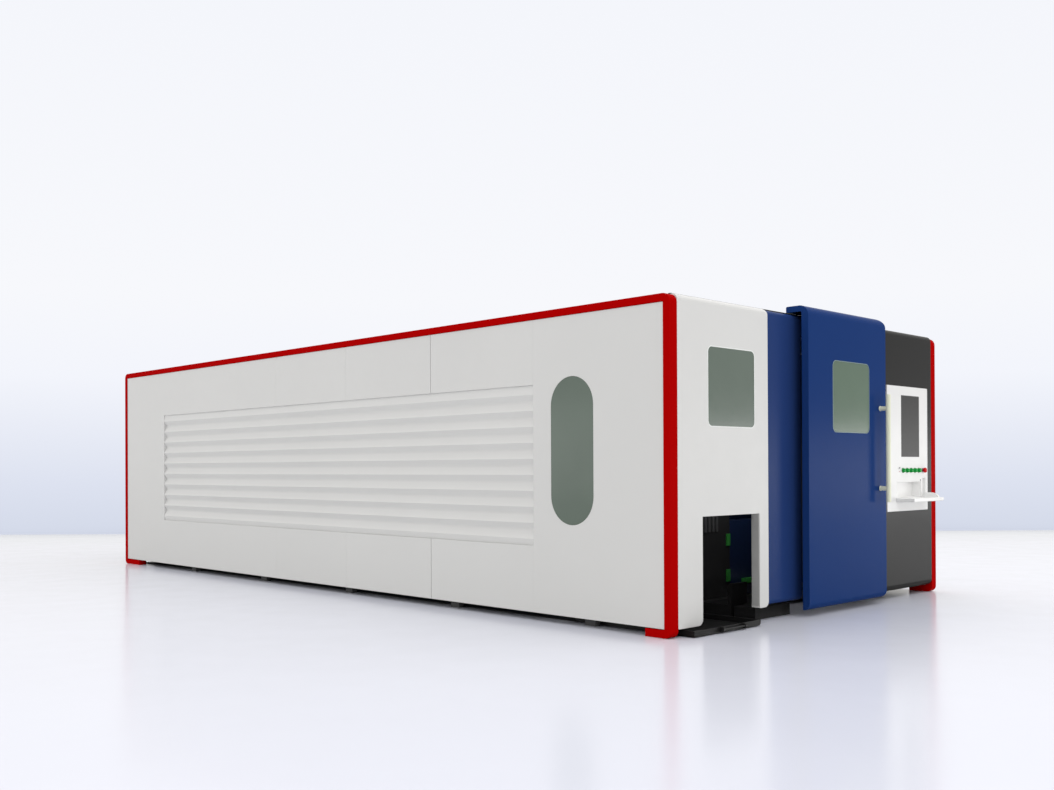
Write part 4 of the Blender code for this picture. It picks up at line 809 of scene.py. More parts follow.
# keyboard shelf with its wing
hx0, hx1, hy0, hy1, hz0, hz1 = 0.0135, 0.181, 3.100, 3.655, 0.834, 0.864
sh = bm_box(hx0, hx1, hy0, hy1, hz0, hz1)
soften(sh, 0.0045, 3, 50, lambda e: max(v.co.x for v in e.verts) > hx0 + XO + 0.02)
sh = boolean(sh, prism('Z', round_rect(hx0 + 0.012, hx1 - 0.012, hy0 + 0.012, 3.590, 0.010, 6), hz1 - 0.010, hz1 + 0.02))
wing = [(0.0205, hz1 - 0.004), (0.150, hz1 - 0.004)] + [
    (0.062 + 0.088 * math.cos(math.radians(118.0 * k / 24)), hz1 + 0.042 * math.sin(math.radians(118.0 * k / 24))) for k in range(25)]
wb = prism('Y', wing, 3.611, 3.634)
soften(wb, 0.003, 2, 40, lambda e: min(v.co.z for v in e.verts) > hz1 - 0.001)
sh = boolean(sh, wb, 'UNION')
piece("keyboard_shelf_board", sh, SHELF, "shelf", ("keyboard_shelf",))

# ------------------------------------------------------------ tray and plinth
refine("scrap_tray", TRAY, 0.0010, 2, 30)
hb = join(box(0.0803, 0.1100, 0.440, 0.462, 0.012, 0.044, 0.0022, 3), box(0.0803, 0.1100, 0.700, 0.722, 0.012, 0.044, 0.0022, 3))
piece("tray_handle_brackets", hb, TRAY, "scrap_drawer", ("scrap_tray_handle",))
piece("tray_handle_bar", rod('Y', (0.101, 0.028), 0.0065, 0.4622, 0.6998, 28), BLACK, "scrap_drawer")
for k, y in enumerate((0.451, 0.711)):
    piece("tray_handle_screw_%d" % (k + 1), turned([(0.0, 0.1101), (0.0062, 0.1101), (0.0062, 0.1128), (0.0048, 0.1142), (0.0026, 0.1142), (0.0026, 0.1120), (0.0, 0.1120)],
                                                   (0.0, y, 0.028), (1, 0, 0), 12), KEYBLACK, "scrap_drawer")
# Plinth in the darker black: painted shade.
refine("base_plinth", PLINTH_SHADE_BLACK, 0.0015, 2, 30)
refine("floor_pan", BLACK, 0.0010, 1, 30)
refine("scrap_hopper", BLACK, 0.0012, 2, 30)
for n in ("sill_left", "sill_right"):
    refine(n, SILL, 0.0015, 2, 30)
for n in ("header_beam", "roof_beam_front", "roof_beam_rear"):
    refine(n, BLACK, 0.0015, 2, 30)
for n in ("roof_panel_front", "roof_panel_middle", "roof_panel_rear"):
    refine(n, ROOF, 0.0010, 2, 30)
refine("rear_panel", SIDE, 0.0010, 2, 30)
refine("rear_gate", GREY, 0.0010, 2, 30)
for n in ("bed_beam_left", "bed_beam_right", "bed_front_beam", "bed_rear_beam", "pallet_frame"):
    refine(n, NAVY, 0.0025, 2, 30)
for n in ("gantry_rail_left", "gantry_rail_right"):
    refine(n, STEEL, 0.0020, 2, 30)
refine("door_rail", STEEL_DARK, 0.0015, 2, 30)
for side, y in (("left", 1.700), ("right", 2.600)):
    z = 2.315 + 0.0003 + 0.018
    rl = turned([(0.0, -0.0056), (0.0050, -0.0056), (0.0050, -0.0051), (0.0165, -0.0050), (0.0179, -0.0040), (0.0179, 0.0040), (0.0165, 0.0050),
                 (0.0120, 0.0050), (0.0110, 0.0040), (0.0070, 0.0040), (0.0060, 0.0056), (0.0, 0.0056)], (-0.0830, y, z), (1, 0, 0), 40)
    piece("roller_%s_tyre" % side, rl, STEEL_DARK, "roller_" + side, ("door_roller_" + side,), 28)
refine("gantry_beam", ALU, 0.0030, 2, 30)
refine("cross_carriage", BLACK, 0.0, 2, 30)
refine("electrical_cabinet", BLACK, 0.0010, 1, 30)
refine("laser_source", PANEL, 0.0, 2, 30)

# --------------------------------------- what shows through the end notch
for k, (ya, yb, za, zb) in enumerate(((2.158, 2.2060, 0.451, 0.556), (2.156, 2.2060, 0.139, 0.245))):
    piece("stop_block_%d" % (k + 1), box(-1.088, -1.072, ya, yb, za, zb, 0.003, 2), GREEN, "root")
piece("hopper_ribs", join(*[box(-1.0900, -1.0760, y - 0.013, y + 0.013, 0.580, 0.712, 0.003, 2) for y in (1.857, 1.912, 1.967, 2.020)]), SILL, "root")
piece("stop_block_3", box(-1.089, -1.030, 2.390, 2.600, 0.113, 0.153, 0.003, 2), GREEN, "root")

# ----------------------------------------------------------- fixing helpers
def screw(x, y, z, d, r=0.006, h=0.0028, n=10):
    """Pan head with a socket, its axis along d."""
    return turned([(0.0, 0.0001), (r, 0.0001), (r, h * 0.45), (r * 0.78, h), (r * 0.42, h), (r * 0.36, h * 0.35), (0.0, h * 0.35)], (x, y, z), d, n)


def row(a, b, n):
    return [a + (b - a) * i / (n - 1) for i in range(n)]


# ------------------------------------------------------------------------ roof
RT = 2.290
for name, xa, xb in (("front", -2.8485, -0.1515), ("middle", -5.5985, -2.8515), ("rear", -8.3200, -5.6015)):
    ribs = [box(xa + 0.22, xb - 0.22, y - 0.024, y + 0.024, RT + 0.0001, RT + 0.0062, 0.0028, 2) for y in (0.52, 1.09, 1.66, 2.22, 2.79, 3.36)
            if not (name == "rear" and y in (1.66, 2.22))]
    if name == "rear":
        for y in (1.66, 2.22):
            ribs.append(box(xa + 0.22, -7.02, y - 0.024, y + 0.024, RT + 0.0001, RT + 0.0062, 0.0028, 2))
            ribs.append(box(-6.38, xb - 0.22, y - 0.024, y + 0.024, RT + 0.0001, RT + 0.0062, 0.0028, 2))
    piece("roof_ribs_" + name, join(*ribs), ROOF, "root")
    heads = [screw(x, y, RT, (0, 0, 1), 0.007) for y in (0.112, 3.768) for x in row(xa + 0.10, xb - 0.10, 7)]
    heads += [screw(x, y, RT, (0, 0, 1), 0.007) for x in (xa + 0.035, xb - 0.035) for y in row(0.42, 3.46, 7)]
    piece("roof_screws_" + name, join(*heads), ZINC, "root")
eyes = []
for x in (-0.75, -7.75):
    for y in (0.26, 3.62):
        eyes.append(box(x - 0.060, x + 0.060, y - 0.034, y + 0.034, RT + 0.0001, RT + 0.0080, 0.0022, 2))
        arc = [(x + 0.030 * math.cos(math.pi * k / 12), y, RT + 0.008 + 0.046 * math.sin(math.pi * k / 12)) for k in range(13)]
        eyes.append(tube(arc, 0.0062))
        eyes += [screw(x + dx, y + dy, RT + 0.008, (0, 0, 1), 0.0065, 0.0045, 6) for dx in (-0.048, 0.048) for dy in (-0.021, 0.021)]
piece("lifting_eyes", join(*eyes), STEEL, "root")
fx, fy = -6.70, 1.94
flange = prism('Z', round_rect(fx - 0.26, fx + 0.26, fy - 0.26, fy + 0.26, 0.02, 5), RT + 0.0001, RT + 0.0070)
piece("exhaust_flange", flange, ZINC, "root")
collar = turned([(0.0, 0.0071), (0.196, 0.0071), (0.196, 0.0110), (0.1760, 0.0130), (0.1740, 0.0480), (0.1700, 0.0520), (0.1560, 0.0520), (0.1500, 0.0480),
                 (0.0300, 0.0480), (0.0260, 0.0520), (0.0, 0.0520)], (fx, fy, RT), (0, 0, 1), 64)
piece("exhaust_collar", collar, GREY, "root")
bolts = [screw(fx + 0.228 * a, fy + 0.228 * b, RT + 0.007, (0, 0, 1), 0.008, 0.0050, 6) for a in (-1, -0.33, 0.33, 1) for b in (-1, 1)]
bolts += [screw(fx + a, fy + b, RT + 0.007, (0, 0, 1), 0.008, 0.0050, 6) for a in (-0.228, 0.228) for b in (-0.075, 0.075)]
bolts += [screw(fx + 0.13 * math.cos(k * math.pi / 4), fy + 0.13 * math.sin(k * math.pi / 4), RT + 0.048, (0, 0, 1), 0.007, 0.0045, 6) for k in range(8)]
piece("exhaust_bolts", join(*bolts), STEEL_Z, "root")

# ------------------------------------------------- doors of the electrics bay
def grille(name, x, z, w, h, body):
    frame_bm = prism('Y', round_rect(x - w / 2, x + w / 2, z - h / 2, z + h / 2, 0.012, 5), YR + 0.0004, YR + 0.0052,
                     [round_rect(x - w / 2 + 0.022, x + w / 2 - 0.022, z - h / 2 + 0.022, z + h / 2 - 0.022, 0.004, 3)])
    soften(frame_bm, 0.0016, 2, 50, on('Y', YR + 0.0052))
    n = int((h - 0.044) / 0.016)
    bars = [box(x - w / 2 + 0.0215, x + w / 2 - 0.0215, YR + 0.0006, YR + 0.0040, zz - 0.0052, zz + 0.0030, 0.0012, 1) for zz in row(z - h / 2 + 0.032, z + h / 2 - 0.032, n)]
    piece(name + "_frame", join(frame_bm, *bars), GREY_PLASTIC, body)
    mat_bm = box(x - w / 2 + 0.0205, x + w / 2 - 0.0205, YR + 0.0001, YR + 0.0005, z - h / 2 + 0.0205, z + h / 2 - 0.0205, 0.0)
    piece(name + "_filter", mat_bm, RUBBER, body)


for name, body, hinge, lock_x, s in (("rear_door", "rear_cabinet_door", SEAM_B + 0.0100, SPLIT - 0.060, 1), ("front_door", "front_cabinet_door", X_FRONT - 0.0150, SPLIT + 0.060, -1)):
    mid = (hinge + lock_x) / 2
    grille(name + "_inlet", mid, 0.420, 0.320, 0.330, body)
    grille(name + "_outlet", mid, 1.890, 0.320, 0.330, body)
    leaves = []
    for z in (0.300, 1.150, 2.000):
        leaves.append(rod('Z', (hinge, YR + 0.0032), 0.0027, z - 0.050, z + 0.050, 16))
        leaves.append(box(min(hinge, hinge + s * 0.040), max(hinge, hinge + s * 0.040), YR + 0.0001, YR + 0.0024, z - 0.046, z + 0.046, 0.0006, 1))
        leaves += [screw(hinge + s * 0.026, YR + 0.0024, z + dz, (0, 1, 0), 0.0048, 0.0022) for dz in (-0.030, 0.0, 0.030)]
    piece(name + "_hinges", join(*leaves), STEEL_Z, body)
    esc = prism('Y', round_rect(lock_x - 0.019, lock_x + 0.019, 1.040, 1.260, 0.012, 6), YR + 0.0001, YR + 0.0032)
    soften(esc, 0.0012, 2, 50, on('Y', YR + 0.0032))
    lever = prism('Y', round_rect(lock_x - 0.010, lock_x + 0.010, 1.056, 1.196, 0.008, 6), YR + 0.0033, YR + 0.0070)
    soften(lever, 0.0016, 3, 50, on('Y', YR + 0.0070))
    piece(name + "_escutcheon", esc, KEYBLACK, body)
    piece(name + "_lever", lever, STEEL_Z, body)
    barrel = turned([(0.0, 0.0033), (0.0105, 0.0033), (0.0105, 0.0056), (0.0090, 0.0066), (0.0026, 0.0066), (0.0022, 0.0050), (0.0, 0.0050)], (lock_x, YR, 1.226), (0, 1, 0), 28)
    piece(name + "_cylinder", barrel, STEEL, body)
    turns = [turned([(0.0, 0.0001), (0.0145, 0.0001), (0.0145, 0.0022), (0.0125, 0.0038), (0.0060, 0.0042), (0.0052, 0.0024), (0.0, 0.0024)], (lock_x, YR, z), (0, 1, 0), 28) for z in (0.300, 2.000)]
    piece(name + "_quarter_turns", join(*turns), STEEL, body)

# -------------------------------------------------------------------- rear end
XF = -L + 0.010
lip = prism('X', round_rect(0.488, 3.392, 0.488, 0.972, 0.012, 5), XF - 0.0078, XF - 0.0002, [[(0.520, 0.520), (3.360, 0.520), (3.360, 0.940), (0.520, 0.940)]])
soften(lip, 0.0018, 2, 50)
piece("slot_edge_strip", lip, RUBBER, "root")
heads = [screw(XF, y, z, (-1, 0, 0), 0.0065) for z in (0.085, 2.268) for y in row(0.14, 3.74, 9)]
heads += [screw(XF, y, z, (-1, 0, 0), 0.0065) for y in (0.112, 3.768) for z in row(0.30, 2.05, 6)]
heads += [screw(XF, y, z, (-1, 0, 0), 0.0055) for z in (0.452, 1.008) for y in row(0.56, 3.32, 9)]
piece("rear_cover_screws", join(*heads), ZINC, "root")
plate = prism('X', round_rect(3.430, 3.720, 1.180, 1.560, 0.010, 5), XF - 0.0032, XF - 0.0002)
soften(plate, 0.0010, 2, 50)
piece("supply_plate", plate, PLATE, "root")
caps = []
for k, (y, z, r) in enumerate(((3.505, 1.490, 0.026), (3.575, 1.490, 0.026), (3.645, 1.490, 0.026), (3.510, 1.390, 0.034), (3.620, 1.390, 0.034), (3.505, 1.270, 0.022), (3.575, 1.270, 0.022), (3.645, 1.270, 0.022))):
    caps.append(turned([(0.0, 0.0033), (r, 0.0033), (r, 0.0058), (r * 0.90, 0.0066), (r * 0.86, 0.0090), (r * 0.62, 0.0094), (r * 0.52, 0.0060), (0.0, 0.0060)],
                       (XF, y, z), (-1, 0, 0), 6 if k in (0, 1, 2) else 28))
piece("supply_glands", join(*caps), KEYBLACK, "root")
piece("supply_screws", join(*[screw(XF - 0.0032, y, z, (-1, 0, 0), 0.005) for y in (3.446, 3.704) for z in (1.198, 1.370, 1.542)]), ZINC, "root")

# ------------------------------------------------------- gantry, carriage, head
BX0, BX1, BT = -1.700, -1.460, 1.190
def rail_with_bores(y0, y1, x, z, w=0.023, h=0.018):
    half = w / 2
    sec = [(x - half, z), (x + half, z), (x + half, z + h * 0.42), (x + half * 0.72, z + h * 0.58), (x + half * 0.72, z + h * 0.72), (x + half, z + h * 0.86),
           (x + half, z + h), (x - half, z + h), (x - half, z + h * 0.86), (x - half * 0.72, z + h * 0.72), (x - half * 0.72, z + h * 0.58), (x - half, z + h * 0.42)]
    return prism('Y', sec, y0, y1)


rails = join(rail_with_bores(0.380, 3.500, -1.505, BT + 0.0003), rail_with_bores(0.380, 3.500, -1.585, BT + 0.0003))
piece("gantry_cross_rails", rails, STEEL_Y, "gantry")
plugs = [turned([(0.0, 0.0), (0.0052, 0.0), (0.0052, 0.0004), (0.0, 0.0004)], (x, y, BT + 0.0183), (0, 0, 1), 12) for x in (-1.505, -1.585) for y in row(0.42, 3.46, 39)]
piece("rail_bore_plugs", join(*plugs), BLACK, "gantry")
teeth = [(0.400, BT + 0.0003)]
n_t = 300
for i in range(n_t):
    y = 0.400 + 3.080 * i / n_t
    q = 3.080 / n_t
    teeth += [(y + q * 0.10, BT + 0.0105), (y + q * 0.35, BT + 0.0170), (y + q * 0.60, BT + 0.0170), (y + q * 0.85, BT + 0.0105)]
teeth += [(3.480, BT + 0.0105), (3.480, BT + 0.0003)]
piece("gantry_rack", prism('X', teeth, -1.553, -1.537), STEEL_Z, "gantry")
trough = prism('Y', [(-1.694, BT + 0.0003), (-1.618, BT + 0.0003), (-1.618, BT + 0.0450), (-1.620, BT + 0.0450), (-1.620, BT + 0.0025), (-1.692, BT + 0.0025), (-1.692, BT + 0.0450), (-1.694, BT + 0.0450)], 0.420, 3.460)
piece("chain_trough", trough, ZINC, "gantry")
links = [box(-1.686, -1.626, y + 0.002, y + 0.040, BT + 0.0032, BT + 0.0400, 0.0050, 1) for y in row(0.440, 3.400, 71)]
piece("drag_chain_links", join(*links), KEYBLACK, "gantry")
for side, ya, yb in (("left", 0.352, 0.488), ("right", 3.392, 3.528)):
    pod = box(BX0 + 0.020, BX1 - 0.020, ya, yb - 0.0, BT + 0.0500, BT + 0.1600, 0.010, 3)
    piece("drive_box_" + side, pod, BLACK, "gantry")
    post = join(box(BX0 + 0.030, BX0 + 0.060, ya + 0.010, yb - 0.010, BT + 0.0460, BT + 0.0505, 0.001, 1), box(BX1 - 0.060, BX1 - 0.030, ya + 0.010, yb - 0.010, BT + 0.0003, BT + 0.0505, 0.001, 1))
    piece("drive_box_feet_" + side, post, ZINC, "gantry")
    motor = turned([(0.0, 0.0), (0.046, 0.0), (0.048, 0.002), (0.048, 0.120), (0.044, 0.126), (0.044, 0.150), (0.040, 0.156), (0.0, 0.156)], ((BX0 + BX1) / 2, (ya + yb) / 2, BT + 0.1602), (0, 0, 1), 36)
    piece("drive_motor_" + side, motor, KEYBLACK, "gantry")
    yc = 0.420 if side == "left" else 3.460
    wipe = []
    for xa in (BX1 + 0.0003, BX0 - 0.0083):
        w = bm_box(xa, xa + 0.0080, yc - 0.046, yc + 0.046, 0.7840, 0.8620)
        w = boolean(w, bm_box(xa - 0.01, xa + 0.02, yc - 0.0238, yc + 0.0238, 0.770, 0.8162))
        soften(w, 0.0010, 1, 50)
        wipe.append(w)
    piece("rail_wipers_" + side, join(*wipe), RUBBER, "gantry")

CX0, CX1 = BX1 + 0.0003, BX1 + 0.090
saddle = join(box(-1.605, CX0 + 0.010, 1.806, 2.074, BT + 0.0320, BT + 0.0480, 0.003, 2))
piece("carriage_saddle", saddle, ALU, "carriage")
trucks = []
for x in (-1.505, -1.585):
    for y in (1.850, 2.030):
        t = bm_box(x - 0.020, x + 0.020, y - 0.034, y + 0.034, BT + 0.0060, BT + 0.0318)
        t = boolean(t, bm_box(x - 0.0124, x + 0.0124, y - 0.05, y + 0.05, BT - 0.01, BT + 0.0196))
        soften(t, 0.0015, 1, 50)
        trucks.append(t)
piece("carriage_trucks", join(*trucks), STEEL, "carriage")
piece("saddle_screws", join(*[screw(x + dx, y + dy, BT + 0.048, (0, 0, 1), 0.0052, 0.0045, 6) for x in (-1.505, -1.585) for y in (1.850, 2.030) for dx in (-0.013, 0.013) for dy in (-0.022, 0.022)]), STEEL_Z, "carriage")
side_plates = join(box(CX0 + 0.012, CX1 - 0.012, 1.7960, 1.7998, 0.985, 1.255, 0.001, 1), box(CX0 + 0.012, CX1 - 0.012, 2.0802, 2.0840, 0.985, 1.255, 0.001, 1))
piece("carriage_side_plates", side_plates, GREY_PLASTIC, "carriage")
motor = turned([(0.0, 0.0), (0.038, 0.0), (0.040, 0.002), (0.040, 0.095), (0.036, 0.100), (0.036, 0.122), (0.033, 0.127), (0.0, 0.127)], (-1.414, 1.840, 1.2803), (0, 0, 1), 36)
piece("carriage_motor", motor, KEYBLACK, "carriage")

HX0 = BX1 + 0.090 + 0.0003
hc = (HX0 + 0.055, 1.940)
core = box(HX0, HX0 + 0.110, 1.880, 2.000, 1.060, 1.480, 0.008, 4)
core = boolean(core, rod('Z', hc, 0.038, 0.968, 1.100, 48), 'UNION')
core = boolean(core, box(HX0 + 0.104, HX0 + 0.13, 1.902, 1.978, 1.120, 1.200, 0.004, 2))
core = boolean(core, box(HX0 + 0.106, HX0 + 0.13, 1.902, 1.978, 1.235, 1.425, 0.004, 2))
piece("head_housing", core, ALU_Z, "head", ("cutting_head",))
piece("head_drawer", box(HX0 + 0.1042, HX0 + 0.1090, 1.9032, 1.9768, 1.1212, 1.1988, 0.0015, 2), BLACK, "head")
piece("head_cover", box(HX0 + 0.1062, HX0 + 0.1088, 1.9032, 1.9768, 1.2362, 1.4238, 0.0010, 2), GREY_PLASTIC, "head")
piece("head_screws", join(*[screw(HX0 + 0.110, y, z, (1, 0, 0), 0.0035, 0.0022) for y in (1.890, 1.990) for z in (1.085, 1.220, 1.340, 1.460)]), STEEL_Z, "head")
tip = turned([(0.0, 0.926), (0.0026, 0.926), (0.0040, 0.9266), (0.0135, 0.9400), (0.0140, 0.9470), (0.0, 0.9470)], (hc[0], hc[1], 0.0), (0, 0, 1), 40)
piece("nozzle_tip", tip, COPPER, "head")
ceramic = turned([(0.0, 0.9472), (0.0185, 0.9472), (0.0225, 0.9500), (0.0240, 0.9540), (0.0240, 0.9676), (0.0, 0.9676)], (hc[0], hc[1], 0.0), (0, 0, 1), 40)
piece("nozzle_ring", ceramic, WHITE_PLASTIC, "head")
piece("nozzle_nut", boolean(turned([(0.0, 0.985), (0.0398, 0.985), (0.0404, 0.987), (0.0404, 1.009), (0.0398, 1.011), (0.0, 1.011)], (hc[0], hc[1], 0.0), (0, 0, 1), 60),
                            rod('Z', hc, 0.0383, 0.97, 1.03, 60)), BRASS, "head")
relief = turned([(0.0, 1.4803), (0.030, 1.4803), (0.030, 1.4900), (0.0260, 1.4960), (0.0240, 1.5400), (0.0160, 1.5560), (0.0150, 1.6000), (0.0100, 1.6100), (0.0, 1.6100)], (hc[0], hc[1], 0.0), (0, 0, 1), 40)
piece("fibre_connector", relief, STEEL_Z, "head")
loop = [(hc[0], hc[1], 1.600)] + [(hc[0] - 0.075 + 0.075 * math.cos(math.pi * k / 14), hc[1] - 0.02 * k / 14, 1.680 + 0.075 * math.sin(math.pi * k / 14)) for k in range(15)] + [(hc[0] - 0.150, hc[1] - 0.022, 1.500)]
piece("fibre_cable", tube(loop, 0.0075), YELLOW, "head")

# ------------------------------------------------------------------ slat grid
PXA, PXB = -7.830, -1.900
grid = []
for i in range(22):
    xs = PXA + (PXB - PXA) * i / 21
    pts = [(0.6252, 0.6405), (3.2548, 0.6405), (3.2548, 0.7150)]
    n_s = 60
    for k in range(n_s):
        y = 3.2548 - (3.2548 - 0.6252) * k / n_s
        w = (3.2548 - 0.6252) / n_s
        pts += [(y - w * 0.18, 0.7150), (y - w * 0.46, 0.7400), (y - w * 0.54, 0.7400), (y - w * 0.82, 0.7150)]
    pts += [(0.6252, 0.7150)]
    grid.append(prism('X', pts, xs - 0.0038, xs + 0.0038))
rails_bm = []
for ya, yb in ((0.585, 0.6252), (3.2548, 3.295)):
    rails_bm.append(box(PXA - 0.004, PXB + 0.004, ya, yb, 0.6405, 0.690, 0.0015, 1))
piece("slat_grid_teeth", join(*(grid + rails_bm)), SLAT, "pallet", ("slat_grid",), weighted=False)

# --------------------------------------------------- gear of the electrics bay
MY = 2.9560
piece("mounting_plate", box(-1.165, -0.180, MY, MY + 0.0030, 1.020, 2.130, 0.0008, 1), PLATE, "root")
gear = {"rail": [], "duct": [], "slit": [], "grey": [], "white": [], "black": [], "blue": [], "orange": [], "green": []}
for z in (1.110, 1.330, 1.550, 1.770, 1.990):
    gear["duct"].append(box(-1.150, -0.195, MY + 0.0032, MY + 0.0600, z - 0.020, z + 0.020, 0.0015, 1))
    gear["slit"] += [box(x - 0.0025, x + 0.0025, MY + 0.0100, MY + 0.0500, z + 0.0198, z + 0.0206, 0.0) for x in row(-1.140, -0.205, 46)]
for z in (1.220, 1.440, 1.660, 1.880):
    gear["rail"].append(prism('X', [(MY + 0.0032, z - 0.0175), (MY + 0.0105, z - 0.0175), (MY + 0.0105, z - 0.0165), (MY + 0.0045, z - 0.0165), (MY + 0.0045, z + 0.0165), (MY + 0.0105, z + 0.0165),
                                    (MY + 0.0105, z + 0.0175), (MY + 0.0032, z + 0.0175)], -1.150, -0.195))
for i, x in enumerate(row(-1.130, -0.700, 24)):
    gear["grey"].append(box(x - 0.0086, x + 0.0086, MY + 0.0110, MY + 0.0640, 1.880 - 0.043, 1.880 + 0.043, 0.0012, 1))
    gear["grey"].append(box(x - 0.0084, x + 0.0084, MY + 0.0640, MY + 0.0760, 1.880 - 0.022, 1.880 + 0.022, 0.0012, 1))
    gear["black"].append(box(x - 0.0040, x + 0.0040, MY + 0.0762, MY + 0.0840, 1.880 - 0.008, 1.880 + 0.010, 0.0010, 1))
for i, x in enumerate(row(-0.640, -0.240, 7)):
    gear["black"].append(box(x - 0.026, x + 0.026, MY + 0.0110, MY + 0.0900, 1.880 - 0.042, 1.880 + 0.042, 0.0020, 1))
    gear["white"].append(box(x - 0.018, x + 0.018, MY + 0.0902, MY + 0.0940, 1.880 - 0.014, 1.880 + 0.014, 0.0010, 1))
for i, x in enumerate(row(-1.110, -0.560, 9)):
    gear["white"].append(box(x - 0.029, x + 0.029, MY + 0.0110, MY + 0.1100, 1.660 - 0.062, 1.660 + 0.062, 0.0030, 1))
    gear["green"].append(box(x - 0.020, x + 0.020, MY + 0.1102, MY + 0.1130, 1.660 - 0.056, 1.660 - 0.036, 0.0008, 1))
    gear["black"].append(box(x - 0.020, x + 0.020, MY + 0.1102, MY + 0.1130, 1.660 + 0.030, 1.660 + 0.054, 0.0008, 1))
for x in (-0.450, -0.330):
    gear["grey"].append(box(x - 0.050, x + 0.050, MY + 0.0110, MY + 0.1200, 1.660 - 0.064, 1.660 + 0.064, 0.0030, 1))
    gear["slit"] += [box(x - 0.036, x + 0.036, MY + 0.1199, MY + 0.1205, z - 0.0022, z + 0.0022, 0.0) for z in row(1.612, 1.690, 8)]
for i, x in enumerate(row(-1.100, -0.300, 8)):
    gear["black"].append(box(x - 0.042, x + 0.042, MY + 0.0110, MY + 0.1500, 1.440 - 0.068, 1.440 + 0.068, 0.0030, 1))
    gear["white"].append(box(x - 0.030, x + 0.030, MY + 0.1502, MY + 0.1525, 1.440 + 0.010, 1.440 + 0.048, 0.0010, 1))
    gear["orange"].append(box(x - 0.030, x + 0.030, MY + 0.1502, MY + 0.1540, 1.440 - 0.056, 1.440 - 0.036, 0.0010, 1))
for i, x in enumerate(row(-1.140, -0.205, 78)):
    key = "blue" if i % 13 == 6 else ("green" if i % 13 == 12 else ("orange" if i in (30, 31, 32) else "grey"))
    gear[key].append(box(x - 0.0052, x + 0.0052, MY + 0.0110, MY + 0.0520, 1.220 - 0.028, 1.220 + 0.028, 0.0006, 1))
cat = {"rail": PLATE, "duct": WHITE_PLASTIC, "slit": BLACK, "grey": GREY_PLASTIC, "white": WHITE_PLASTIC, "black": KEYBLACK, "blue": BLUE_PLASTIC, "orange": ORANGE, "green": GREEN}
label = {"rail": "din_rails", "duct": "wire_ducts", "slit": "duct_slots", "grey": "breakers_terminals", "white": "drive_modules", "black": "contactors", "blue": "blue_terminals",
         "orange": "motor_plugs", "green": "earth_terminals"}
for k, parts in gear.items():
    piece(label[k], join(*parts), cat[k], "root", weighted=False)
wires = []
for i, x in enumerate(row(-1.080, -0.320, 8)):
    wires.append(tube([(x, MY + 0.128, 1.372), (x, MY + 0.140, 1.355), (x + 0.01, MY + 0.100, 1.348), (x + 0.01, MY + 0.062, 1.340)], 0.0045))
for x in (-0.95, -0.90, -0.85, -0.42, -0.36):
    wires.append(tube([(x, MY + 0.045, 1.086), (x, MY + 0.060, 1.060), (x + 0.02, MY + 0.060, 1.030), (x + 0.02, MY + 0.075, 1.0085)], 0.0065))
piece("control_cables", join(*wires), KEYBLACK, "root", weighted=False)

# laser source front, low on the left of the bay
LY = 3.690
vents = [box(x - 0.0035, x + 0.0035, LY + 0.0001, LY + 0.0012, 0.230, 0.420, 0.0) for x in row(-1.090, -0.700, 27)]
piece("source_vents", join(*vents), BLACK, "root")
piece("source_fascia", box(-1.130, -0.660, LY + 0.0001, LY + 0.0030, 0.560, 0.960, 0.0012, 2), GREY_PLASTIC, "root")
piece("source_window", box(-1.090, -0.900, LY + 0.0031, LY + 0.0050, 0.800, 0.910, 0.0010, 2), BEZEL, "root")
knobs = [turned([(0.0, 0.0031), (0.014, 0.0031), (0.014, 0.0120), (0.0120, 0.0150), (0.0, 0.0150)], (x, LY, 0.855), (0, 1, 0), 28) for x in (-0.840, -0.780)]
piece("source_knobs", join(*knobs), KEYBLACK, "root")
piece("source_stop", turned([(0.0, 0.0031), (0.012, 0.0031), (0.012, 0.0160), (0.0200, 0.0160), (0.0210, 0.0230), (0.0170, 0.0290), (0.0, 0.0300)], (-0.710, LY, 0.855), (0, 1, 0), 32), BTN_RED, "root")
grips = [tube([(x, LY + 0.001, 0.620), (x, LY + 0.036, 0.626), (x, LY + 0.040, 0.650), (x, LY + 0.040, 0.710), (x, LY + 0.036, 0.734), (x, LY + 0.001, 0.740)], 0.0055) for x in (-1.080, -0.710)]
piece("source_grips", join(*grips), STEEL_Z, "root")
TX0, TX1 = -0.600, -0.200
core = [box(TX0, TX1, 3.060, 3.360, 0.180, 0.215, 0.002, 1), box(TX0, TX1, 3.060, 3.360, 0.475, 0.510, 0.002, 1)]
core += [box(x - 0.028, x + 0.028, 3.130, 3.290, 0.2152, 0.4748, 0.002, 1) for x in (-0.530, -0.400, -0.270)]
piece("transformer_core", join(*core), STEEL, "root")
coils = [box(x - 0.054, x + 0.054, 3.085, 3.335, 0.2300, 0.4600, 0.022, 4) for x in (-0.530, -0.400, -0.270)]
piece("transformer_coils", join(*coils), COPPER, "root")
piece("transformer_base", box(TX0 - 0.02, TX1 + 0.02, 3.040, 3.380, 0.1380, 0.1798, 0.003, 1), BLACK, "root")
piece("filter_unit", box(-0.590, -0.210, 3.000, 3.160, 0.600, 0.940, 0.006, 3), GREY, "root")
piece("filter_unit_bands", join(*[box(x - 0.004, x + 0.004, 3.1602, 3.1630, 0.640, 0.900, 0.0) for x in row(-0.560, -0.240, 17)]), BLACK, "root")

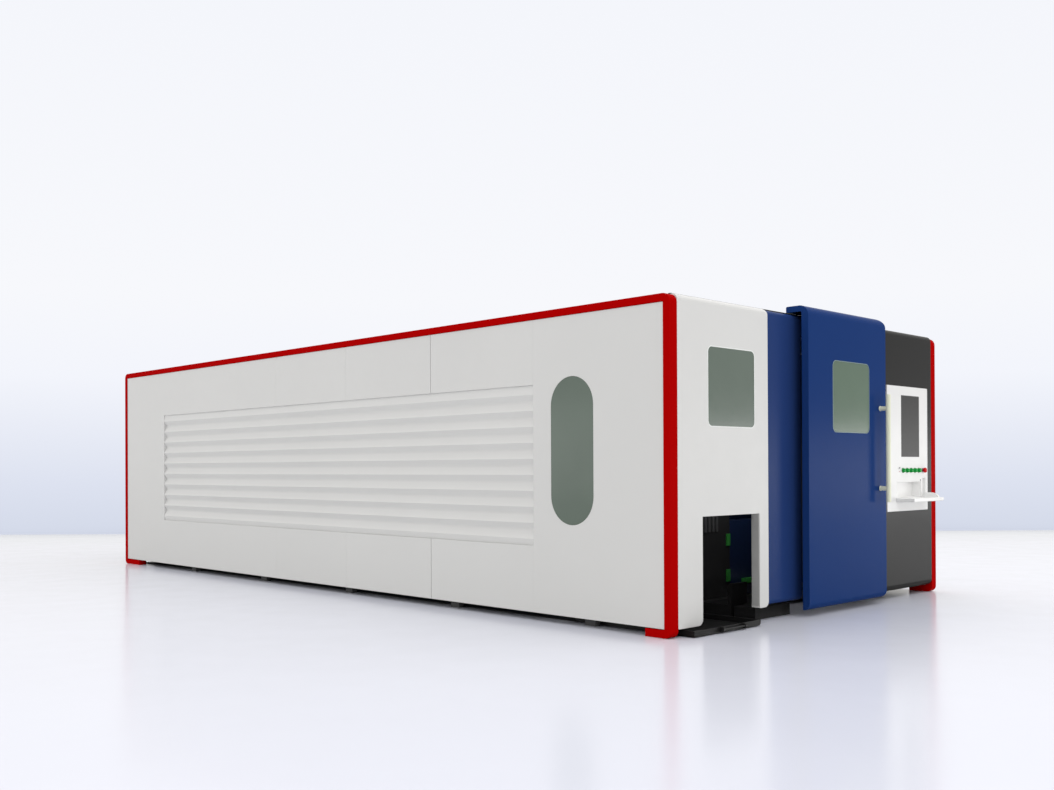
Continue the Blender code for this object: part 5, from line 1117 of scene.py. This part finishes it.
# ----------------------------------------------------------------- floor, light
world = bpy.data.worlds.new("studio")
bpy.context.scene.world = world
world.use_nodes = True
wn = world.node_tree
bg = wn.nodes["Background"]
tc = wn.nodes.new("ShaderNodeTexCoord")
sep = wn.nodes.new("ShaderNodeSeparateXYZ")
wn.links.new(tc.outputs["Generated"], sep.inputs["Vector"])
high = span(wn, sep.outputs["Z"], 0.0, 1.0, -0.10, 0.50)
seen = ramp(wn, high, [(0.0, srgb(200, 206, 222)), (0.065, srgb(204, 210, 226)), (0.085, srgb(213, 219, 234)), (0.145, srgb(221, 226, 240)),
                       (0.30, srgb(243, 245, 252)), (0.42, srgb(247, 248, 252)), (1.0, srgb(243, 245, 251))])
dome = ramp(wn, high, [(0.0, (0.80, 0.79, 0.765)), (0.30, (0.86, 0.85, 0.825)), (1.0, (0.98, 0.97, 0.945))])
pick = wn.nodes.new("ShaderNodeLightPath")
both = wn.nodes.new("ShaderNodeMix")
both.data_type = 'RGBA'
wn.links.new(pick.outputs["Is Camera Ray"], both.inputs["Factor"])
wn.links.new(dome, both.inputs["A"])
wn.links.new(seen, both.inputs["B"])
wn.links.new(both.outputs["Result"], bg.inputs["Color"])
bg.inputs["Strength"].default_value = 1.0

FLOOR_FAR = 19.0
fl = bmesh.new()
bmesh.ops.create_grid(fl, x_segments=1, y_segments=1, size=1.0)
bmesh.ops.scale(fl, vec=(34.0, 20.0, 1.0), verts=fl.verts)
bmesh.ops.translate(fl, vec=(0.0, FLOOR_FAR - 20.0, 0.0), verts=fl.verts)
fm = bpy.data.meshes.new("studio_floor")
fl.to_mesh(fm)
fl.free()
floor = bpy.data.objects.new("studio_floor", fm)
bpy.context.scene.collection.objects.link(floor)
floor.location = (8.541, -7.581, -0.0005)
floor.rotation_euler = (0.0, 0.0, YAW - math.pi / 2)
m, nt, b = base("pale_floor")
v = stretched(nt, 1, 1, 1)
sx = nt.nodes.new("ShaderNodeSeparateXYZ")
nt.links.new(v, sx.inputs["Vector"])
# Painted shade: the floor's colour darkens with distance from the camera's position, out to FLOOR_FAR, merging into the
# backdrop's darker horizon band.
col = ramp(nt, span(nt, sx.outputs["Y"], 0.0, 1.0, 8.0, FLOOR_FAR),
           [(0.0, (0.830, 0.850, 0.960)), (0.72, (0.830, 0.850, 0.960)), (0.90, (0.760, 0.790, 0.875)), (1.0, (0.560, 0.600, 0.710))])
path = nt.nodes.new("ShaderNodeLightPath")
tone = nt.nodes.new("ShaderNodeMix")
tone.data_type = 'RGBA'
nt.links.new(path.outputs["Is Diffuse Ray"], tone.inputs["Factor"])
nt.links.new(col, tone.inputs["A"])
tone.inputs["B"].default_value = (0.845, 0.858, 0.885, 1.0)
# Painted shade in reflections: to glossy rays the floor shows a much darker grey, darkening its reflection in the
# glossy covers.
reflection_shade = nt.nodes.new("ShaderNodeMix")
reflection_shade.data_type = 'RGBA'
nt.links.new(path.outputs["Is Glossy Ray"], reflection_shade.inputs["Factor"])
nt.links.new(tone.outputs["Result"], reflection_shade.inputs["A"])
reflection_shade.inputs["B"].default_value = (0.400, 0.405, 0.412, 1.0)
nt.links.new(reflection_shade.outputs["Result"], b.inputs["Base Color"])
nt.links.new(span(nt, noise(nt, v, 3.0, 3), 0.17, 0.20), b.inputs["Roughness"])
b.inputs["Specular IOR Level"].default_value = 0.24
fm.materials.append(m)


def softbox(name, where, target, w, hgt, power, tint=(1, 1, 1)):
    ld = bpy.data.lights.new(name, 'AREA')
    ld.shape = 'RECTANGLE'
    ld.size, ld.size_y = w, hgt
    ld.energy = power
    ld.color = tint
    ob = bpy.data.objects.new(name, ld)
    bpy.context.scene.collection.objects.link(ob)
    ob.location = where
    ob.rotation_euler = (Vector(target) - Vector(where)).to_track_quat('-Z', 'Y').to_euler()
    ob.visible_camera = False
    return ob


niche_light = bpy.data.lights.new("niche_fill", 'AREA')
niche_light.shape = 'RECTANGLE'
niche_light.size, niche_light.size_y = 0.12, 0.60
niche_light.energy = 0.95
niche_ob = bpy.data.objects.new("niche_fill", niche_light)
bpy.context.scene.collection.objects.link(niche_ob)
niche_ob.location = at(0.75, 2.92, 1.08)
niche_ob.rotation_euler = (Vector(at(-0.03, 3.38, 0.935)) - niche_ob.location).to_track_quat('-Z', 'Y').to_euler()
niche_ob.visible_camera = False

softbox("strip_end", (11.6, 11.8, 0.96), (4.1, 0.6, 1.05), 6.4, 1.68, 210.0)
softbox("strip_side", (-11.0, -12.0, 1.6), (-1.0, -2.0, 1.4), 10.0, 2.4, 95.0)
softbox("top_soft", (3.0, 1.0, 9.0), (0.0, 0.0, 0.0), 12.0, 10.0, 300.0)

bay = bpy.data.lights.new("bay_fill", 'AREA')
bay.shape = 'RECTANGLE'
bay.size, bay.size_y = 0.5, 2.2
bay.energy = 5.5
bay_ob = bpy.data.objects.new("bay_fill", bay)
bpy.context.scene.collection.objects.link(bay_ob)
bay_ob.location = at(-0.60, 1.50, 1.30)
bay_ob.rotation_euler = (0.0, math.radians(50.0), 0.0)
bay_ob.visible_camera = False

bpy.context.scene.view_settings.view_transform = 'Standard'
bpy.context.scene.view_settings.look = 'None'
